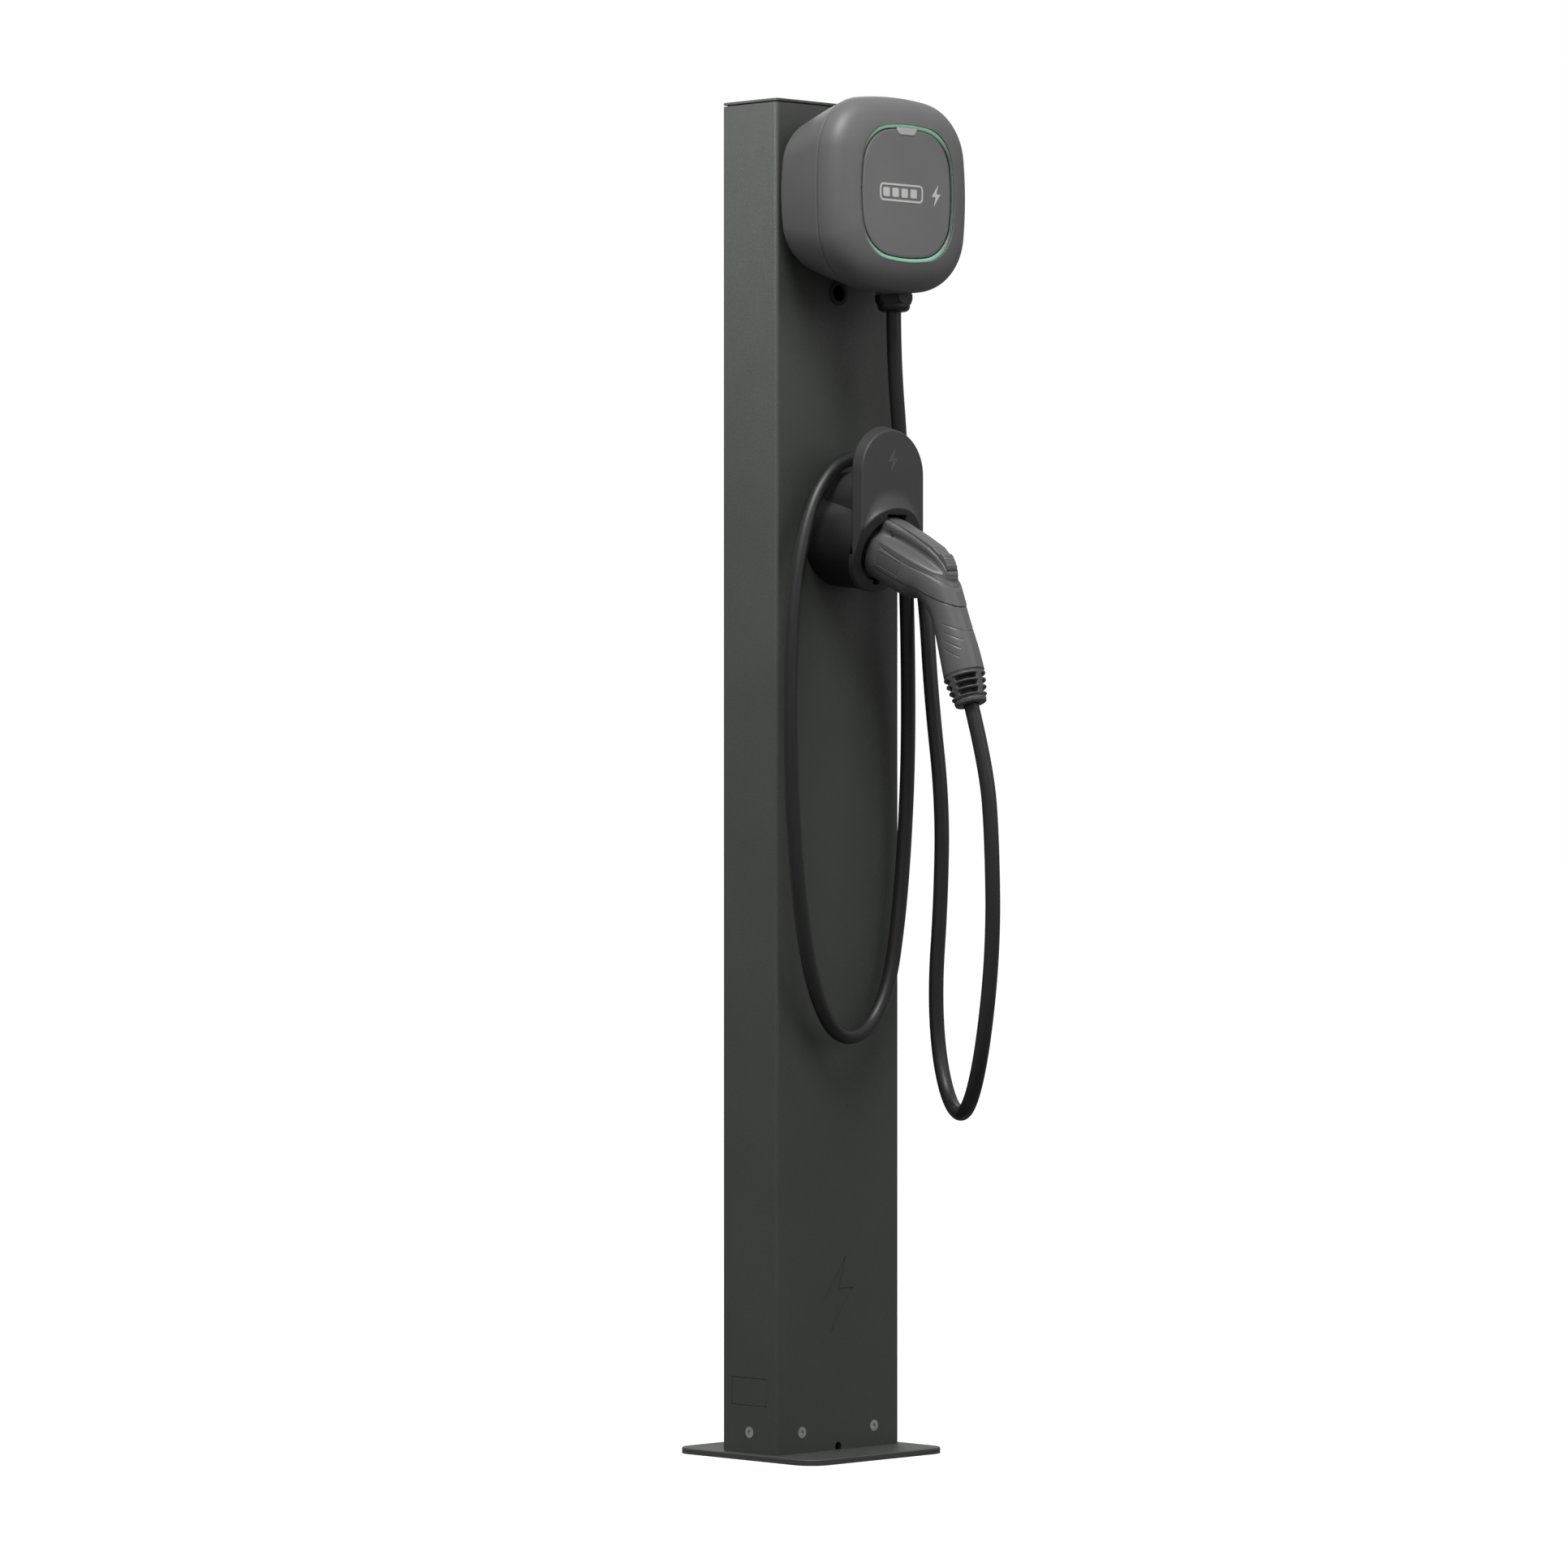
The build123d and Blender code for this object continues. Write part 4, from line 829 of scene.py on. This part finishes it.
def make_charger(materials):
    centre, back, parting, front, face = charger_frame()

    def ring(shape, y, inset=0.0):
        return charger_ring(soft_outline(*shape, inset), y, centre)

    def tapered(y, edge=0.0):
        """A section of the rear shell, which draws in towards the wall, most at its top and bottom."""
        share = (y - parting) / (back - parting)
        across = 1 - (REAR_TAPER[0] * share**1.73 + edge) / (CHARGER[0] / 2)
        upright = 1 - (REAR_TAPER[1] * share**1.04 + edge) / (CHARGER[1] / 2)
        return charger_ring(soft_outline(*CHARGER) * (across, upright), y, centre)

    rear = [tapered(back, REAR_ROUND + 20)]
    for angle in np.radians(np.linspace(0, 90, 12)):
        edge = REAR_ROUND * (1 - math.sin(angle))
        rear.append(tapered(back - REAR_ROUND * (1 - math.cos(angle)), edge))
    rear += [tapered(y) for y in np.linspace(back - REAR_ROUND - 2, parting + 0.5, 22)]
    rear += [ring(CHARGER, parting + 0.15, 0.35), ring(CHARGER, parting + 0.15, 3)]
    points, faces = bridge(rear, close_first=True)
    shell = materials["charger_shell"]
    mesh_piece("charger_rear", points, faces, shell, "charger_shell", "root", "charger_rear_shell")

    window = soft_outline(*RING_OUTER)
    start = parting - COVER_GAP
    reach, depth = COVER_REACH, start - front
    cover = [ring(CHARGER, start, 3), ring(CHARGER, start, 0.35), ring(CHARGER, start - 0.35)]
    for angle in np.radians(np.linspace(4, 86, 30)):
        inset = reach / 0.97 * (1 - math.cos(angle) ** (2 / COVER_POWER))
        y = start - 0.35 - (depth - 0.35) * math.sin(angle) ** (2 / COVER_POWER)
        share = min(inset / reach, 1) ** 3
        flat = soft_outline(*CHARGER, min(inset, reach)) * (1 - share) + window * share
        cover.append(charger_ring(flat, y, centre))
    edge = front + 0.05
    cover += [charger_ring(window, edge, centre), ring(RING_OUTER, edge + 0.25, 0.25)]
    cover.append(ring(RING_OUTER, front + 5, 0.3))
    points, faces = bridge(cover)
    paint = materials["charger_cover"]
    mesh_piece("charger_cover", points, faces, paint, "charger_cover", "root", "charger_front_cover")

    reach = RING_OUTER[1] / 2 * MM
    # The ring's sides take painted shade; its top and bottom keep its own green and glow.
    glow = light_guide("light_ring", (0.10, 0.125, 0.108), (0.20, 0.40, 0.29), centre * MM, reach)
    outer, inner = front + 0.7, front + 1.0
    profile = [
        ring(RING_OUTER, front + 4.5, 0.35), ring(RING_OUTER, outer + 0.5, 0.35),
        ring(RING_OUTER, outer, 0.8), ring(RING_OUTER, outer, 1.6),
        ring(RING_INNER, inner - 0.1, -1.2), ring(RING_INNER, inner, -0.5),
        ring(RING_INNER, inner + 0.4), ring(RING_INNER, front + 4.5),
    ]
    points, faces = bridge(profile + [profile[0]])
    mesh_piece("halo_ring", points, faces, glow, "light_ring", "root", "light_ring")

    plate = [
        ring(PANEL, face + 4), ring(PANEL, face + 0.7), ring(PANEL, face + 0.2, 0.2), ring(PANEL, face, 0.7),
        ring(PANEL, face, 3), ring(PANEL, face, 20), ring(PANEL, face, 38),
    ]
    points, faces = bridge(plate, close_last=True)
    mesh_piece("charger_panel", points, faces, materials["front_panel"], "front_panel", "root", "front_panel")

    turns = np.radians(np.linspace(-15, -90, 9))
    corner = [(8.9 + 3.6 * math.cos(turn), 62 + 3.6 * math.sin(turn)) for turn in turns]
    half = [(0, 65.5), (7, 65.5), (14.6, 65.3)] + corner
    tag = np.array(half + [(-x, z) for x, z in half[:0:-1]])
    middle = np.array((0, 62))
    sizes = ((face + 0.5, 1), (face - 0.25, 1), (face - 0.4, 0.97), (face - 0.4, 0.8))
    rings = [charger_ring(middle + (tag - middle) * size, y, centre) for y, size in sizes]
    points, faces = bridge(rings[::-1], close_first=True)
    tag_plastic = moulded("tag_plastic", (0.40, 0.40, 0.395), 0.45, 0.05)
    mesh_piece("top_tag", points, faces, tag_plastic, "pale_mark", "root", "panel_tag")

    pad_middle = np.array(GLAND_PLACE)
    turn = np.radians(np.linspace(0, 360, 64, endpoint=False))
    circle = np.stack([np.cos(turn), np.sin(turn), turn * 0], axis=1)
    levels = ((1175.2, 8), (1175.2, 18), (1175.6, 18.4), (1192, 20.5))
    points, faces = bridge([circle * radius + pad_middle + (0, 0, z) for z, radius in levels])
    mesh_piece("gland_pad", points * MM, faces, shell, "charger_shell", "root")

    # A near-black sheet behind the light ring: painted shade for the gaps around the ring and panel.
    gap_shade_rings = [ring(RING_OUTER, front + 5, 0.4), ring(RING_OUTER, front + 5, 30)]
    points, faces = bridge(gap_shade_rings, close_last=True)
    dark = moulded("gap_painted_shade", (0.01, 0.012, 0.011), 0.6)
    mesh_piece("ring_gap_shade", points, faces, dark, "black_nylon", "root")


# ---- stage ----
FLOOR_HALF = 40


def make_stage():
    """A plain pale floor and soft studio light from above and from the left."""
    mesh = bpy.data.meshes.new("floor")
    corners = [(x * FLOOR_HALF, y * FLOOR_HALF, 0) for x, y in ((-1, -1), (1, -1), (1, 1), (-1, 1))]
    mesh.from_pydata(corners, [], [(0, 1, 2, 3)])
    floor = bpy.data.objects.new("floor", mesh)
    bpy.context.scene.collection.objects.link(floor)
    material = bpy.data.materials.new("floor")
    material.use_nodes = True
    tree = material.node_tree
    shader = tree.nodes["Principled BSDF"]
    shader.inputs["Base Color"].default_value = (0.35, 0.35, 0.35, 1)
    shader.inputs["Roughness"].default_value = 1
    shader.inputs["Specular IOR Level"].default_value = 0
    shader.inputs["Emission Color"].default_value = (1, 1, 1, 1)
    shader.inputs["Emission Strength"].default_value = 0.9
    mesh.materials.append(material)
    floor.visible_diffuse = False
    floor.visible_glossy = False

    world = bpy.data.worlds.new("studio")
    bpy.context.scene.world = world
    world.use_nodes = True
    nodes, links = world.node_tree.nodes, world.node_tree.links
    place = nodes.new("ShaderNodeTexCoord")
    split = nodes.new("ShaderNodeSeparateXYZ")
    links.new(place.outputs["Generated"], split.inputs[0])
    ramp = nodes.new("ShaderNodeValToRGB")
    ramp.color_ramp.elements[0].position = 0.25
    ramp.color_ramp.elements[0].color = (0.22, 0.22, 0.22, 1)
    ramp.color_ramp.elements[1].position = 0.95
    ramp.color_ramp.elements[1].color = (0.9, 0.9, 0.9, 1)
    lift = nodes.new("ShaderNodeMath")
    lift.operation = "MULTIPLY_ADD"
    lift.inputs[1].default_value = 0.5
    lift.inputs[2].default_value = 0.5
    links.new(split.outputs["Z"], lift.inputs[0])
    links.new(lift.outputs[0], ramp.inputs[0])
    lighting = nodes["Background"]
    links.new(ramp.outputs["Color"], lighting.inputs["Color"])
    lighting.inputs["Strength"].default_value = 0.66
    white = nodes.new("ShaderNodeBackground")
    white.inputs["Color"].default_value = (1, 1, 1, 1)
    path = nodes.new("ShaderNodeLightPath")
    mix = nodes.new("ShaderNodeMixShader")
    links.new(path.outputs["Is Camera Ray"], mix.inputs[0])
    links.new(lighting.outputs[0], mix.inputs[1])
    links.new(white.outputs[0], mix.inputs[2])
    links.new(mix.outputs[0], nodes["World Output"].inputs["Surface"])

    add_light("key", (-1.05, -1.0, 3.2), (0, 0, 1.05), 1.0, 64)
    add_light("front", (0.8, -2.2, 2.1), (0, 0, 0.95), 1.5, 9)
    add_light("back", (1.6, 2.2, 2.4), (0, 0, 0.9), 1.4, 12)
    wash = add_light("wash", (-0.72, 0.05, 1.72), (-0.09, 0, 1.25), 0.45, 9)
    steel = bpy.data.collections.new("washed")
    for name in ("post_body", "post_cap", "side_entry_blank", "base_plate", "base_screws"):
        steel.objects.link(NODES[name])
    wash.light_linking.receiver_collection = steel
    bpy.context.scene.view_settings.view_transform = "Standard"


def add_light(name, place, target, size, power):
    data = bpy.data.lights.new(name, "AREA")
    data.size = size
    data.energy = power
    light = bpy.data.objects.new(name, data)
    light.location = place
    light.visible_camera = False
    light.rotation_euler = (Vector(target) - Vector(place)).to_track_quat("-Z", "Y").to_euler()
    bpy.context.scene.collection.objects.link(light)
    return light


make_camera()
cable, cable_path = make_cable()
materials = paint_nodes()
make_charger(materials)
make_faceplate(materials)
make_connector(materials)
ON_CABLE = ["connector_left", "connector_right", "latch_tab", "blank_label", "cable_boot"]
ON_CABLE += ["nose_barrel", "contact_insert", "contact_sleeves", "shell_screws"]
make_stage()
